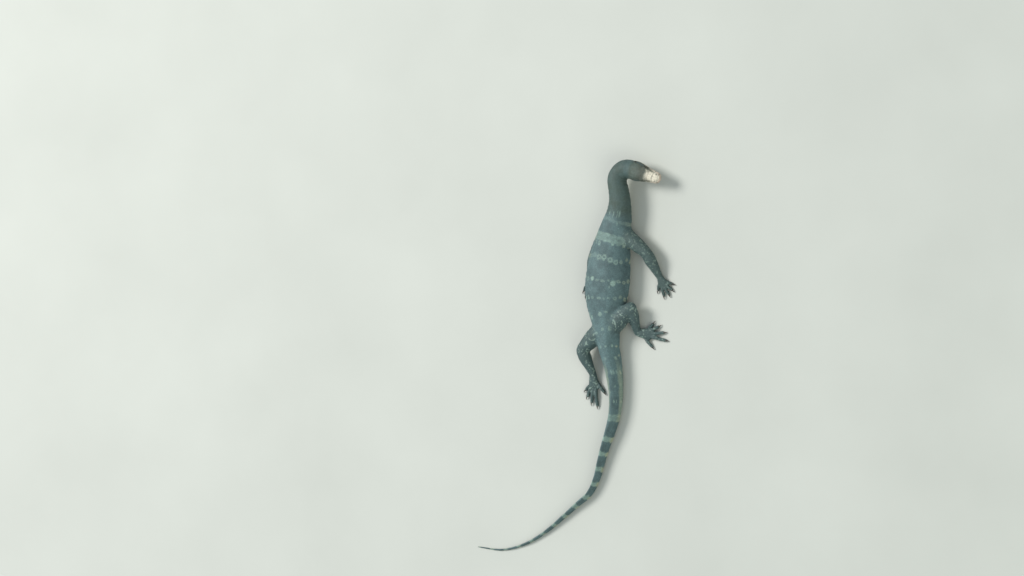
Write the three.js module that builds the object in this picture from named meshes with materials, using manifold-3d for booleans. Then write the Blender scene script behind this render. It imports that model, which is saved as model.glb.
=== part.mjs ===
// A water monitor lizard at life size, resting on its belly with its head turned to its right.
// Units are millimetres. X is the animal's right, Y runs forward and Z is up from the floor at Z = 0.
import * as THREE from "three";
import { mergeVertices } from "three/addons/utils/BufferGeometryUtils.js";
import Module from "manifold-3d";

const wasm = await Module();
wasm.setup();

// Clearances
const GAP = 0.3; // between neighbouring parts
const SINK = 1.2; // how far a soft underside is pressed flat by the floor

// Head
const HEAD_LENGTH = 98; // neck joint to the tip of the snout
const HEAD_HEADING = -17; // degrees, the snout's direction from +X
const NECK_HEADING = -11; // degrees, the direction of the neck where it enters the skull
const HEAD_JOINT = [83, 359]; // where the skull meets the neck, right and forward
const HEAD_LEVEL = 50; // height of the widest line of the skull at the joint
const SNOUT_DROP = 5; // how much lower that line lies at the snout
const EYE_RADIUS = 6.3;
const EYE_AT = [13.6, 48, 7]; // right, forward and up from the neck joint
const EYE_OPENING = [4.5, 5.6, 4.1]; // half sizes of the space between the lids
const LID_THICKNESS = 1.1;
const BROW_AT = [10.6, 48.5, 11.4];
const BROW_SIZE = [8, 15, 4.8];
const BROW_TILT = 0.36; // radians, outer edge down
const BROW_TAPER = 0.13; // radians that the brows close towards the snout
const EAR_AT = [25.4, 14, 3];
const EAR_SIZE = [4.6, 3.7, 5.8];
const EAR_LEAN = 16; // degrees
const NOSTRIL_AT = [12.4, 85.5, 3.6];
const NOSTRIL_SIZE = [2.6, 2.9, 1.7];
const NOSTRIL_LEAN = -25;
const MOUTH_CORNER = [29, -6]; // forward and up, where the lips end behind the eye
const MOUTH_FRONT = -4.2; // height of the mouth line at the snout's tip
const MOUTH_SAG = 2.2; // how far it dips between them
const LIP_RADIUS = 1.5;
const LIP_INSET = 0.8; // how far the middle of a lip lies inside the side of the head
const LIP_OFFSET = 1.35; // how far it lies above or below the mouth line
const LIP_SIDES = 6;

// Neck and trunk
const NECK_BEND_RADIUS = 34; // the neck's centre line where it turns to the head
const LEAD_IN = 12; // how far the centre line starts inside the skull
const NECK_LENGTH = 176; // head joint to the shoulders along the bend
const TRUNK_LENGTH = 297; // shoulders to the vent
const TAIL_PARTS = 6;

// Tail: its half width and height at the root, and what is left of them at the tip
const TAIL_ROOT_HALF = 35;
const TAIL_ROOT_HEIGHT = 66;
const TAIL_ROOT_LEVEL = 30; // height of its widest line
const TAIL_TIP_HALF = 1.3;
const TAIL_TIP_HEIGHT = 3;
const KEEL_HEIGHT = 2.4;
const KEEL_HALF = 2.6;
const KEEL_START = 0.04; // share of the tail's length where the crests begin
const KEEL_FULL = 0.3; // and where they stand at their full height

// Claws
const CLAW_LENGTH = 11;
const CLAW_HALF = [2.3, 3.2];

const COLOURS = {
  skin: { color: 0x3f4447, roughness: 0.72, metalness: 0 },
  snout: { color: 0x8d7b70, roughness: 0.66, metalness: 0 },
  eye: { color: 0x17110c, roughness: 0.12, metalness: 0 },
  claw: { color: 0x26221f, roughness: 0.38, metalness: 0 },
};

const degrees = (angle) => (angle * Math.PI) / 180;
const lerp = THREE.MathUtils.lerp;
const vector = (place) => new THREE.Vector3(...place);
const neckForward = new THREE.Vector3(
  Math.cos(degrees(NECK_HEADING)),
  Math.sin(degrees(NECK_HEADING)),
  0,
);
const UP = new THREE.Vector3(0, 0, 1);

// The body's centre line on the floor plan, from the head joint to the tip of the tail
const BEND_STEP = 25; // degrees between the points of the neck's bend
function neckBend() {
  const centre = [
    HEAD_JOINT[0] + neckForward.y * NECK_BEND_RADIUS,
    HEAD_JOINT[1] - neckForward.x * NECK_BEND_RADIUS,
  ];
  const lead = vector([...HEAD_JOINT, 0]).addScaledVector(neckForward, LEAD_IN);
  const points = [[lead.x, lead.y]];
  for (let turn = 90 + NECK_HEADING; turn <= 180; turn += BEND_STEP) {
    points.push([
      centre[0] + NECK_BEND_RADIUS * Math.cos(degrees(turn)),
      centre[1] + NECK_BEND_RADIUS * Math.sin(degrees(turn)),
    ]);
  }
  return points;
}
const TRUNK_ROUTE = [
  [46, 300],
  [48, 272],
  [43, 238],
  [33, 205],
  [23, 168],
  [12, 110],
  [3, 45],
  [0, 0],
  [0, -45],
  [3, -90],
];
const TAIL_ROUTE = [
  [5, -130],
  [14, -170],
  [21, -215],
  [23, -270],
  [16, -322],
  [3, -362],
  [-13, -403],
  [-27, -445],
  [-42, -492],
  [-66, -534],
  [-106, -566],
  [-152, -602],
  [-203, -640],
  [-268, -676],
  [-345, -696],
  [-428, -690],
];
const spine = new THREE.CatmullRomCurve3(
  [...neckBend(), ...TRUNK_ROUTE, ...TAIL_ROUTE].map(
    ([x, y]) => new THREE.Vector3(x, y, 0),
  ),
  false,
  "centripetal",
);
spine.arcLengthDivisions = 2000;
const SPINE_LENGTH = spine.getLength() - LEAD_IN;
const VENT = NECK_LENGTH + TRUNK_LENGTH;

// Neck and trunk sections: distance from the head joint, half width, height of the widest line,
// top and underside heights, how much the top narrows, and how square the section is
const TRUNK_SECTIONS = [
  [0, 26, 50, 73, 28, 0.06, 2.15],
  [50, 27, 49, 73, 25, 0.04, 2.1],
  [105, 30, 44, 69, 17, 0.04, 2.1],
  [150, 36, 38, 68, 6, 0.06, 2.15],
  [185, 44, 34, 70, -SINK, 0.1, 2.2],
  [230, 52, 33, 74, -SINK, 0.12, 2.2],
  [300, 63, 33, 79, -SINK, 0.12, 2.25],
  [350, 66, 33, 80, -SINK, 0.12, 2.25],
  [400, 59, 33, 76, -SINK, 0.12, 2.25],
  [440, 47, 32, 70, -SINK, 0.12, 2.2],
  [VENT, TAIL_ROOT_HALF, TAIL_ROOT_LEVEL, TAIL_ROOT_HEIGHT, -SINK, 0.14, 2.1],
];

// A smooth value between the rows of a table whose first column is the distance
function between(rows, distance, column) {
  const last = rows.length - 1;
  let k = 0;
  while (k < last - 1 && rows[k + 1][0] < distance) {
    k += 1;
  }
  const [a, b] = [rows[k], rows[k + 1]];
  const t = THREE.MathUtils.clamp((distance - a[0]) / (b[0] - a[0]), 0, 1);
  const slope = (i) => {
    const [p, q] = [rows[Math.max(i - 1, 0)], rows[Math.min(i + 1, last)]];
    return (q[column] - p[column]) / (q[0] - p[0]);
  };
  const span = b[0] - a[0];
  const [t2, t3] = [t * t, t * t * t];
  return (
    (2 * t3 - 3 * t2 + 1) * a[column] +
    (t3 - 2 * t2 + t) * span * slope(k) +
    (3 * t2 - 2 * t3) * b[column] +
    (t3 - t2) * span * slope(k + 1)
  );
}

const root = (value, power) => Math.sign(value) * Math.abs(value) ** (2 / power);

// One point of a section at an angle from its right side, as [across, height]
function sectionPoint(section, angle) {
  const [c, s] = [Math.cos(angle), Math.sin(angle)];
  const rise = s > 0 ? section.top - section.level : section.level - section.under;
  const z = rise * root(s, section.square);
  const narrow = s > 0 ? 1 - section.peak * (z / rise) : 1;
  return [section.half * root(c, section.square) * narrow, section.level + z];
}

function trunkSection(distance, grow = 0) {
  const value = (column) => between(TRUNK_SECTIONS, distance, column);
  return {
    half: value(1) + grow,
    level: value(2),
    top: value(3) + grow,
    under: value(4) - grow,
    peak: value(5),
    square: value(6),
    keel: 0,
    keelHalf: KEEL_HALF,
  };
}

// The tail narrows fast behind the vent and then evenly, and turns from round to a blade on edge
const TAIL_SWELL = 0.6; // share of its half width lost in the fast part
const TAIL_PEAK = [0.62, 0.14]; // how much its top narrows at the tip and at the root
const TAIL_TIP_LEVEL = 0.36; // height of its widest line at the tip, as a share of its height
const KEEL_LEFT = [0.3, 0.25]; // what is left of the crests' height and width at the tip

function tailSection(distance, grow = 0) {
  const along = Math.min((distance - VENT) / (SPINE_LENGTH - VENT), 1);
  const left = 1 - along;
  const half = lerp(TAIL_TIP_HALF, TAIL_ROOT_HALF, lerp(left, left ** 4, TAIL_SWELL));
  const height = lerp(TAIL_TIP_HEIGHT, TAIL_ROOT_HEIGHT, left ** 1.3);
  const keel = KEEL_HEIGHT * THREE.MathUtils.smoothstep(along, KEEL_START, KEEL_FULL);
  return {
    half: half + grow,
    level: height * lerp(TAIL_TIP_LEVEL, TAIL_ROOT_LEVEL / TAIL_ROOT_HEIGHT, left),
    top: height + grow,
    under: -Math.min(SINK, height * 0.12) - grow,
    peak: lerp(...TAIL_PEAK, left ** 3),
    square: 2.1,
    keel: keel * lerp(KEEL_LEFT[0], 1, left),
    keelHalf: KEEL_HALF * lerp(KEEL_LEFT[1], 1, left),
  };
}

function plainOutline(section, sides) {
  const points = [];
  for (let k = 0; k < sides; k += 1) {
    points.push(sectionPoint(section, (2 * Math.PI * k) / sides));
  }
  return points;
}

// The outline of the tail, with the two low crests that run side by side along its top
const KEEL_FOOT = 82; // degrees up from the tail's side, where the crests begin
const KEEL_LINE = 0.62; // where a crest stands, as a share of their half width
const KEEL_GROOVE = 0.6; // height of the groove between them, as a share of their height
const KEEL_SINK = 0.2; // how deep they stand in the tail, as a share of their height

function keeledOutline(section, sides) {
  const count = sides / 2;
  const side = [];
  for (let k = 0; k <= count; k += 1) {
    side.push(sectionPoint(section, degrees(lerp(-90, KEEL_FOOT, k / count))));
  }
  const foot = section.top - section.keel * KEEL_SINK;
  const crest = [
    [section.keelHalf * KEEL_LINE, foot + section.keel],
    [0, foot + section.keel * KEEL_GROOVE],
    [-section.keelHalf * KEEL_LINE, foot + section.keel],
  ];
  const mirrored = side.slice(1).map(([across, height]) => [-across, height]);
  return [...side, ...crest, ...mirrored.reverse()];
}

// Places a ring of section points in the upright plane across the spine
function bodyRing(distance, sides, keeled, grow) {
  const u = THREE.MathUtils.clamp((distance + LEAD_IN) / (SPINE_LENGTH + LEAD_IN), 0, 1);
  const centre = spine.getPointAt(u);
  const back = spine.getTangentAt(u);
  const right = new THREE.Vector3(-back.y, back.x, 0);
  const onTail = distance > VENT;
  const section = onTail ? tailSection(distance, grow) : trunkSection(distance, grow);
  const outline = keeled ? keeledOutline(section, sides) : plainOutline(section, sides);
  return outline.map(([across, height]) =>
    centre.clone().addScaledVector(right, across).setZ(height),
  );
}

// The closed mesh through a row of rings, with a fan over each end
function loft(rings) {
  const sides = rings[0].length;
  const points = rings.flat();
  const faces = [];
  for (let i = 0; i < rings.length - 1; i += 1) {
    for (let k = 0; k < sides; k += 1) {
      const [a, b] = [i * sides + k, i * sides + ((k + 1) % sides)];
      faces.push(a, b, a + sides, b, b + sides, a + sides);
    }
  }
  for (const end of [0, rings.length - 1]) {
    const middle = rings[end]
      .reduce((sum, p) => sum.add(p), new THREE.Vector3())
      .divideScalar(sides);
    points.push(middle);
    for (let k = 0; k < sides; k += 1) {
      const pair = [end * sides + k, end * sides + ((k + 1) % sides)];
      faces.push(points.length - 1, ...(end ? pair : pair.reverse()));
    }
  }
  const flat = points.flatMap((p) => p.toArray());
  const geometry = new THREE.BufferGeometry();
  geometry.setAttribute("position", new THREE.Float32BufferAttribute(flat, 3));
  geometry.setIndex(faces);
  return geometry;
}

function solidOf(geometry) {
  const bare = geometry.clone();
  bare.deleteAttribute("normal");
  bare.deleteAttribute("uv");
  const merged = mergeVertices(bare, 1e-4);
  const solid = new wasm.Manifold(
    new wasm.Mesh({
      numProp: 3,
      vertProperties: new Float32Array(merged.attributes.position.array),
      triVerts: new Uint32Array(merged.index.array),
    }),
  );
  return solid.volume() < 0 ? solidOf(flipped(merged)) : solid;
}

function flipped(geometry) {
  const turned = geometry.clone();
  const index = [...geometry.index.array];
  for (let k = 0; k < index.length; k += 3) {
    [index[k], index[k + 1]] = [index[k + 1], index[k]];
  }
  turned.setIndex(index);
  return turned;
}

function largest(solid) {
  return solid.decompose().sort((a, b) => b.volume() - a.volume())[0];
}

function geometryOf(solid) {
  const mesh = solid.getMesh();
  const geometry = new THREE.BufferGeometry();
  const positions = new Float32Array(mesh.vertProperties);
  geometry.setAttribute("position", new THREE.BufferAttribute(positions, 3));
  geometry.setIndex(new THREE.BufferAttribute(new Uint32Array(mesh.triVerts), 1));
  geometry.computeVertexNormals();
  return geometry;
}

const unite = (solids) => solids.reduce((all, one) => all.add(one));

function placed(geometry, position, scale, turn = [0, 0, 0]) {
  const matrix = new THREE.Matrix4().compose(
    new THREE.Vector3(...position),
    new THREE.Quaternion().setFromEuler(new THREE.Euler(...turn)),
    new THREE.Vector3(...scale),
  );
  return solidOf(geometry.clone().applyMatrix4(matrix));
}

const ball = (position, size, turn) =>
  placed(new THREE.SphereGeometry(1, 14, 9), position, size, turn);

// A block that holds all there is over the floor
const BLOCK = 2000;
const ABOVE_FLOOR = solidOf(new THREE.BoxGeometry(BLOCK, BLOCK, BLOCK).translate(0, 0, BLOCK / 2));
const onFloor = (solid) => solid.intersect(ABOVE_FLOOR);

// Every part goes into one group as a named mesh
const lizard = new THREE.Group();
function addPart(name, solid, colour, parent = lizard) {
  const material = new THREE.MeshStandardMaterial(COLOURS[colour]);
  const mesh = new THREE.Mesh(geometryOf(largest(solid)), material);
  mesh.name = name;
  parent.add(mesh);
}

// A length of the body between two distances from the head joint, or grown all round by a clearance
function bodyLength({ from, to, step, sides, keeled }, grow = 0) {
  const start = from - grow + GAP / 2;
  const end = Math.min(to + grow - GAP / 2, SPINE_LENGTH);
  const count = Math.max(2, Math.round((end - start) / step));
  const rings = [];
  for (let i = 0; i <= count; i += 1) {
    rings.push(bodyRing(lerp(start, end, i / count), sides, keeled, grow));
  }
  return solidOf(loft(rings));
}

// The skull's own frame: right, snout forward and up from the neck joint
const headGroup = new THREE.Group();
headGroup.position.set(...HEAD_JOINT, HEAD_LEVEL);
headGroup.rotation.z = degrees(HEAD_HEADING - 90);
headGroup.updateMatrix();
lizard.add(headGroup);

// Neck, trunk and tail: the distances that part them, the step between rings, and their sides
const TRUNK_SIDES = 28;
const TAIL_SIDES = 14;
const NECK_START = 2 - LEAD_IN;
const tailStart = (part) => VENT + (SPINE_LENGTH - VENT) * (part / TAIL_PARTS) ** 1.1;
const BODY_PARTS = [
  { name: "neck", from: NECK_START, to: NECK_LENGTH, step: 13, sides: TRUNK_SIDES },
  { name: "torso", from: NECK_LENGTH, to: VENT, step: 16, sides: TRUNK_SIDES },
];
for (let part = 0; part < TAIL_PARTS; part += 1) {
  const [from, to] = [tailStart(part), tailStart(part + 1)];
  BODY_PARTS.push({ name: "tail_" + (part + 1), from, to, step: 19, sides: TAIL_SIDES, keeled: true });
}
const swollenBody = unite(BODY_PARTS.slice(0, 3).map((part) => bodyLength(part, GAP)));

// The room that the skull takes from the neck: across, forward and up
const HEAD_ROOM = [60, 60, 120];
const headRoom = solidOf(
  new THREE.BoxGeometry(...HEAD_ROOM)
    .translate(0, HEAD_ROOM[1] / 2 - GAP, 0)
    .applyMatrix4(headGroup.matrix),
);
for (const part of BODY_PARTS) {
  const solid = onFloor(bodyLength(part));
  addPart(part.name, part.name === "neck" ? solid.subtract(headRoom) : solid, "skin");
}

// Head sections: distance from the neck joint, half width, top and underside from the widest line,
// how much the top narrows, and how square the section is
const HEAD_SECTIONS = [
  [0, 26, 23, 22, 0.06, 2.15],
  [12, 26.5, 22, 22, 0.14, 2.3],
  [26, 26, 21, 20.5, 0.22, 2.4],
  [38, 24, 20.5, 18, 0.26, 2.5],
  [50, 21.5, 19.5, 15.5, 0.3, 2.5],
  [62, 18.5, 16.5, 13.5, 0.3, 2.5],
  [76, 16.2, 13.5, 11.5, 0.24, 2.5],
  [88, 14, 10.8, 9.5, 0.18, 2.4],
  [94.5, 10.6, 8, 7.2, 0.1, 2.2],
  [HEAD_LENGTH, 3.6, 2.8, 2.6, 0, 2],
];
const HEAD_SIDES = 28;
const HEAD_RINGS = 22; // closer together towards the snout

function headSection(y) {
  const value = (column) => between(HEAD_SECTIONS, y, column);
  const level = -SNOUT_DROP * (y / HEAD_LENGTH) ** 2;
  return {
    half: value(1),
    level,
    top: level + value(2),
    under: level - value(3),
    peak: value(4),
    square: value(5),
  };
}

// How far the side of the head lies from the middle at a height
const HALVINGS = 24;
function headSide(y, height) {
  const section = headSection(y);
  let [low, high] = [-Math.PI / 2, Math.PI / 2];
  for (let k = 0; k < HALVINGS; k += 1) {
    const middle = (low + high) / 2;
    if (sectionPoint(section, middle)[1] < height) {
      low = middle;
    } else {
      high = middle;
    }
  }
  return sectionPoint(section, low)[0];
}

function headShell() {
  const rings = [];
  for (let i = 0; i <= HEAD_RINGS; i += 1) {
    const along = 1 - (1 - i / HEAD_RINGS) ** 1.25;
    const y = lerp(0, HEAD_LENGTH, along);
    const section = headSection(y);
    const ring = [];
    for (let k = 0; k < HEAD_SIDES; k += 1) {
      const [x, z] = sectionPoint(section, (2 * Math.PI * k) / HEAD_SIDES);
      ring.push(new THREE.Vector3(x, y, z));
    }
    rings.push(ring.reverse());
  }
  return solidOf(loft(rings));
}

const mouthHeight = (y) => {
  const t = THREE.MathUtils.clamp((y - MOUTH_CORNER[0]) / (HEAD_LENGTH - MOUTH_CORNER[0]), 0, 1);
  return lerp(MOUTH_CORNER[1], MOUTH_FRONT, t) - MOUTH_SAG * Math.sin(Math.PI * t ** 0.7);
};

// A round tube along a list of points, thinner at both ends
function roll(points, radius, sides) {
  const curve = new THREE.CatmullRomCurve3(points);
  const rings = [];
  const count = points.length + 4;
  for (let i = 0; i <= count; i += 1) {
    const u = i / count;
    const forward = curve.getTangentAt(u);
    const across = new THREE.Vector3().crossVectors(forward, UP).normalize();
    const up = new THREE.Vector3().crossVectors(across, forward);
    const size = radius * (0.25 + 0.75 * Math.sin(Math.PI * u) ** 0.35);
    const ring = [];
    for (let k = 0; k < sides; k += 1) {
      const angle = (2 * Math.PI * k) / sides;
      ring.push(
        curve
          .getPointAt(u)
          .addScaledVector(across, size * Math.cos(angle))
          .addScaledVector(up, size * Math.sin(angle)),
      );
    }
    rings.push(ring);
  }
  return solidOf(loft(rings));
}

// A lip runs from one corner of the mouth round the snout to the other
function lip(offset) {
  const stops = [0, 0.2, 0.4, 0.6, 0.77, 0.88, 0.945];
  const right = stops.map((t) => {
    const y = lerp(MOUTH_CORNER[0], HEAD_LENGTH, t);
    const z = mouthHeight(y) + offset;
    return new THREE.Vector3(headSide(y, z) - LIP_INSET, y, z);
  });
  const left = right.map((p) => new THREE.Vector3(-p.x, p.y, p.z)).reverse();
  const front = new THREE.Vector3(0, HEAD_LENGTH - LIP_RADIUS, mouthHeight(HEAD_LENGTH) + offset);
  return roll([...right, front, ...left], LIP_RADIUS, LIP_SIDES);
}

// The space of the lower jaw, seen from the side and as wide as the head
const JAW_STEPS = 12;
const JAW_PAST = 10; // how far the space runs on past the snout
const JAW_BACK = 14; // how far the jaw's hind edge leans back on its way down
const JAW_DEEP = 60;

function jawSpace(grow) {
  const outline = [];
  for (let k = 0; k <= JAW_STEPS; k += 1) {
    const y = lerp(MOUTH_CORNER[0] - grow, HEAD_LENGTH + JAW_PAST, k / JAW_STEPS);
    outline.push(new THREE.Vector2(y, mouthHeight(y) + grow));
  }
  outline.push(new THREE.Vector2(HEAD_LENGTH + JAW_PAST, -JAW_DEEP));
  outline.push(new THREE.Vector2(MOUTH_CORNER[0] - JAW_BACK - grow, -JAW_DEEP));
  const depth = HEAD_LENGTH;
  const slab = new THREE.ExtrudeGeometry(new THREE.Shape(outline), { depth, bevelEnabled: false });
  slab.applyMatrix4(new THREE.Matrix4().set(0, 0, 1, -depth / 2, 1, 0, 0, 0, 0, 1, 0, 0, 0, 0, 0, 1));
  return solidOf(slab);
}

// The swelling of the lids round an eye, the brow over it and the spaces cut for eye and opening
function eyeParts(side) {
  const centre = [side * EYE_AT[0], EYE_AT[1], EYE_AT[2]];
  const lids = ball(centre, Array(3).fill(EYE_RADIUS + GAP + LID_THICKNESS));
  const brow = ball([side * BROW_AT[0], BROW_AT[1], BROW_AT[2]], BROW_SIZE, [
    0,
    side * BROW_TILT,
    side * BROW_TAPER,
  ]);
  const room = ball(centre, Array(3).fill(EYE_RADIUS + GAP));
  const opening = ball([side * (EYE_AT[0] + EYE_RADIUS), EYE_AT[1], EYE_AT[2] - 0.3], EYE_OPENING);
  return { centre, lids, brow, room, opening };
}

const eyes = [1, -1].map(eyeParts);
const lips = [lip(LIP_OFFSET), lip(-LIP_OFFSET)];
let skull = unite([headShell(), ...lips, ...eyes.flatMap((eye) => [eye.brow, eye.lids])]);
for (const side of [1, -1]) {
  const at = (place) => [side * place[0], place[1], place[2]];
  skull = skull.subtract(ball(at(EAR_AT), EAR_SIZE, [degrees(EAR_LEAN), 0, 0]));
  skull = skull.subtract(ball(at(NOSTRIL_AT), NOSTRIL_SIZE, [degrees(NOSTRIL_LEAN), 0, 0]));
}
eyes.forEach((eye) => {
  skull = skull.subtract(eye.room).subtract(eye.opening);
});
addPart("head", skull.subtract(jawSpace(GAP)), "skin", headGroup);
addPart("jaw", skull.intersect(jawSpace(0)), "snout", headGroup);
eyes.forEach((eye, k) => {
  const name = k ? "eye_left" : "eye_right";
  addPart(name, ball(eye.centre, Array(3).fill(EYE_RADIUS)), "eye", headGroup);
});

// Limbs: the joints as right, forward and up, from inside the body to the wrist or ankle, the
// direction of the hand or foot in degrees from +X, and how widely its digits are spread
const LIMBS = {
  right_fore: {
    side: 1,
    kind: "fore",
    joints: [[44, 192, 37], [127, 130, 36], [156, 62, 11]],
    heading: -64,
    fan: 0.9,
  },
  left_fore: {
    side: -1,
    kind: "fore",
    joints: [[2, 186, 30], [-43, 124, 21], [-64, 58, 11]],
    heading: -95,
    fan: 0.6,
  },
  right_hind: {
    side: 1,
    kind: "hind",
    joints: [[21, -75, 35], [81, -20, 42], [87, -90, 13]],
    heading: -6,
    fan: 1,
  },
  left_hind: {
    side: -1,
    kind: "hind",
    joints: [[-12, -80, 35], [-74, -138, 39], [-52, -206, 13]],
    heading: -92,
    fan: 0.85,
  },
};

// Sizes of the two kinds of limb. Each length of limb has rows of how far along they are, half
// width and half height; digits are listed from the innermost to the outermost.
const KINDS = {
  fore: {
    names: ["upper_arm", "forearm", "hand"],
    upper: [[0, 26, 25], [0.35, 23, 22], [0.7, 20, 19], [1, 16.5, 16]],
    lower: [[0, 16.5, 16], [0.25, 17.5, 16], [0.65, 13, 12], [1, 10, 8.5]],
    palm: [[0, 10, 8.5], [0.5, 13, 7.5], [1, 15.5, 6.2]],
    palmLength: 25,
    spread: [-50, -25, -3, 20, 46],
    lengths: [19, 27, 31, 30, 21],
    setBack: [7, 4, 3, 4, 12.5], // how far behind the palm's end each digit begins
    radius: 4.5,
  },
  hind: {
    names: ["thigh", "shank", "foot"],
    upper: [[0, 25, 26], [0.35, 25.5, 25.5], [0.7, 21, 21.5], [1, 16.5, 17]],
    lower: [[0, 16.5, 17], [0.28, 18, 17], [0.65, 13.5, 12.5], [1, 10.5, 9.5]],
    palm: [[0, 10.5, 9.5], [0.5, 14, 8.5], [1, 16.5, 6.6]],
    palmLength: 36,
    spread: [-56, -33, -11, 7, 44],
    lengths: [22, 33, 45, 54, 34],
    setBack: [7, 4, 3, 4, 15],
    radius: 5,
  },
};
const LIMB_SIDES = 14;
const LIMB_SQUARE = 2.15; // how square a limb's section is, where 2 is an oval
const LIMB_STEP = 13;
const DIGIT_SIDES = 8;
const CLAW_SIDES = 6;
const ROUND_END = [30, 58, 80]; // degrees of the rings that round off a length of limb
const KNUCKLE_SPAN = 0.66; // how far out the outer digits begin, as a share of the palm's half width
const OUTER_SHARE = 0.92; // thickness of the outer digits beside the others
const DIGIT_ROWS = [
  // along the digit, rise of its middle over its thickness, and size
  [-0.12, 1, 1],
  [0.2, 1.6, 1],
  [0.42, 3.4, 1.04],
  [0.62, 2.4, 0.9],
  [0.84, -0.1, 0.94],
  [1, -0.8, 0.78],
];
const CLAW_TIP = 0.5; // height of a claw's point
const CLAW_ROWS = [
  // along the claw, height of its middle as a share of the digit's thickness, and size
  [0, 0.8, 1],
  [0.35, 0.88, 0.84],
  [0.7, 0.5, 0.52],
  [1, 0.06, 0.12],
];
const FLOOR_PRESS = 0.4; // how far the pads are pressed flat by the floor

function headingVector(angle) {
  return new THREE.Vector3(Math.cos(degrees(angle)), Math.sin(degrees(angle)), 0);
}

function ovalRing(centre, across, up, half, high, sides, first = 0) {
  const ring = [];
  for (let k = 0; k < sides; k += 1) {
    const angle = (2 * Math.PI * (k + first)) / sides;
    ring.push(
      centre
        .clone()
        .addScaledVector(across, half * root(Math.cos(angle), LIMB_SQUARE))
        .addScaledVector(up, high * root(Math.sin(angle), LIMB_SQUARE)),
    );
  }
  return ring;
}

// A straight length of limb from one joint to the next, rounded past both of its ends
function limbLength(start, end, rows, grow = 0) {
  const forward = end.clone().sub(start);
  const length = forward.length();
  forward.normalize();
  const across = new THREE.Vector3().crossVectors(forward, UP).normalize();
  const up = new THREE.Vector3().crossVectors(across, forward);
  const stations = [];
  const count = Math.max(3, Math.round(length / LIMB_STEP));
  for (let i = 0; i <= count; i += 1) {
    stations.push([i / count, 0, 1]);
  }
  for (const turn of ROUND_END) {
    const [beyond, share] = [Math.sin(degrees(turn)), Math.cos(degrees(turn))];
    stations.push([1, beyond, share]);
    stations.unshift([0, -beyond, share]);
  }
  const rings = stations.map(([t, beyond, share]) => {
    const half = between(rows, t, 1) + grow;
    const high = between(rows, t, 2) + grow;
    const centre = start.clone().addScaledVector(forward, t * length + beyond * Math.min(half, high));
    return ovalRing(centre, across, up, half * share, high * share, LIMB_SIDES);
  });
  return solidOf(loft(rings));
}

// The half space past the plane that halves the bend at a joint, as a large block
function pastJoint(before, joint, after, offset) {
  const bisector = joint
    .clone()
    .sub(before)
    .normalize()
    .add(after.clone().sub(joint).normalize())
    .normalize();
  const turn = new THREE.Quaternion().setFromUnitVectors(new THREE.Vector3(0, 1, 0), bisector);
  const centre = joint.clone().addScaledVector(bisector, BLOCK / 2 + offset);
  const matrix = new THREE.Matrix4().compose(centre, turn, new THREE.Vector3(1, 1, 1));
  return solidOf(new THREE.BoxGeometry(BLOCK, BLOCK, BLOCK).applyMatrix4(matrix));
}

// A tapering tube whose sections stand upright across its direction, with flat ends
function uprightTube(points, sizes, direction, sides) {
  const across = new THREE.Vector3().crossVectors(direction, UP);
  const rings = points.map((point, i) => ovalRing(point, across, UP, ...sizes[i], sides, 0.5));
  return solidOf(loft(rings));
}

// One digit with its claw: the digit arches over its middle joint and comes down to the floor
function digit(limb, knuckles, index) {
  const kind = KINDS[limb.kind];
  const forward = headingVector(limb.heading);
  const direction = headingVector(limb.heading - limb.side * limb.fan * kind.spread[index]);
  const lateral = new THREE.Vector3().crossVectors(forward, UP).multiplyScalar(limb.side);
  const across = (index - 2) / 2;
  const reach = kind.lengths[index];
  const thick = kind.radius * (Math.abs(across) === 1 ? OUTER_SHARE : 1);
  const base = knuckles
    .clone()
    .addScaledVector(lateral, across * kind.palm[2][1] * KNUCKLE_SPAN)
    .addScaledVector(forward, -kind.setBack[index]);
  const along = (distance, height) => base.clone().addScaledVector(direction, distance).setZ(height);
  const points = DIGIT_ROWS.map(([t, rise]) => along(reach * t, thick + rise));
  const sizes = DIGIT_ROWS.map(([, , share]) => [thick * share, thick * share]);
  const flesh = uprightTube(points, sizes, direction, DIGIT_SIDES);
  const clawPoints = CLAW_ROWS.map(([t, share]) =>
    along(reach + lerp(GAP, CLAW_LENGTH, t), thick * share + CLAW_TIP),
  );
  const clawSizes = CLAW_ROWS.map(([, , share]) => CLAW_HALF.map((half) => half * share));
  const claw = uprightTube(clawPoints, clawSizes, direction, CLAW_SIDES);
  return { flesh, claw };
}

function addLimb(name, limb) {
  const kind = KINDS[limb.kind];
  const [first, middle, last] = limb.joints.map(vector);
  const knuckles = last
    .clone()
    .addScaledVector(headingVector(limb.heading), kind.palmLength)
    .setZ(kind.palm[2][2] - FLOOR_PRESS);
  const bend = [first, middle, last];
  const ankle = [middle, last, knuckles];
  const upper = limbLength(first, middle, kind.upper).subtract(pastJoint(...bend, -GAP / 2));
  const lower = limbLength(middle, last, kind.lower)
    .intersect(pastJoint(...bend, GAP / 2))
    .subtract(pastJoint(...ankle, -GAP / 2));
  const palm = limbLength(last, knuckles, kind.palm).intersect(pastJoint(...ankle, GAP / 2));
  const digits = kind.lengths.map((_, index) => digit(limb, knuckles, index));
  const whole = unite([palm, ...digits.map((d) => d.flesh)]);
  const prefix = name.split("_")[0] + "_";
  [upper, lower, whole].forEach((solid, k) => {
    addPart(prefix + kind.names[k], onFloor(solid.subtract(swollenBody)), "skin");
  });
  digits.forEach((d, index) => {
    addPart(prefix + kind.names[2] + "_claw_" + (index + 1), onFloor(d.claw), "claw");
  });
}

for (const [name, limb] of Object.entries(LIMBS)) {
  addLimb(name, limb);
}

export default lizard;
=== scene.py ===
import collections
import itertools
import math

import bmesh
import bpy
import numpy as np
from mathutils import Matrix, Vector
from mathutils.bvhtree import BVHTree
from mathutils.kdtree import KDTree


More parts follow.
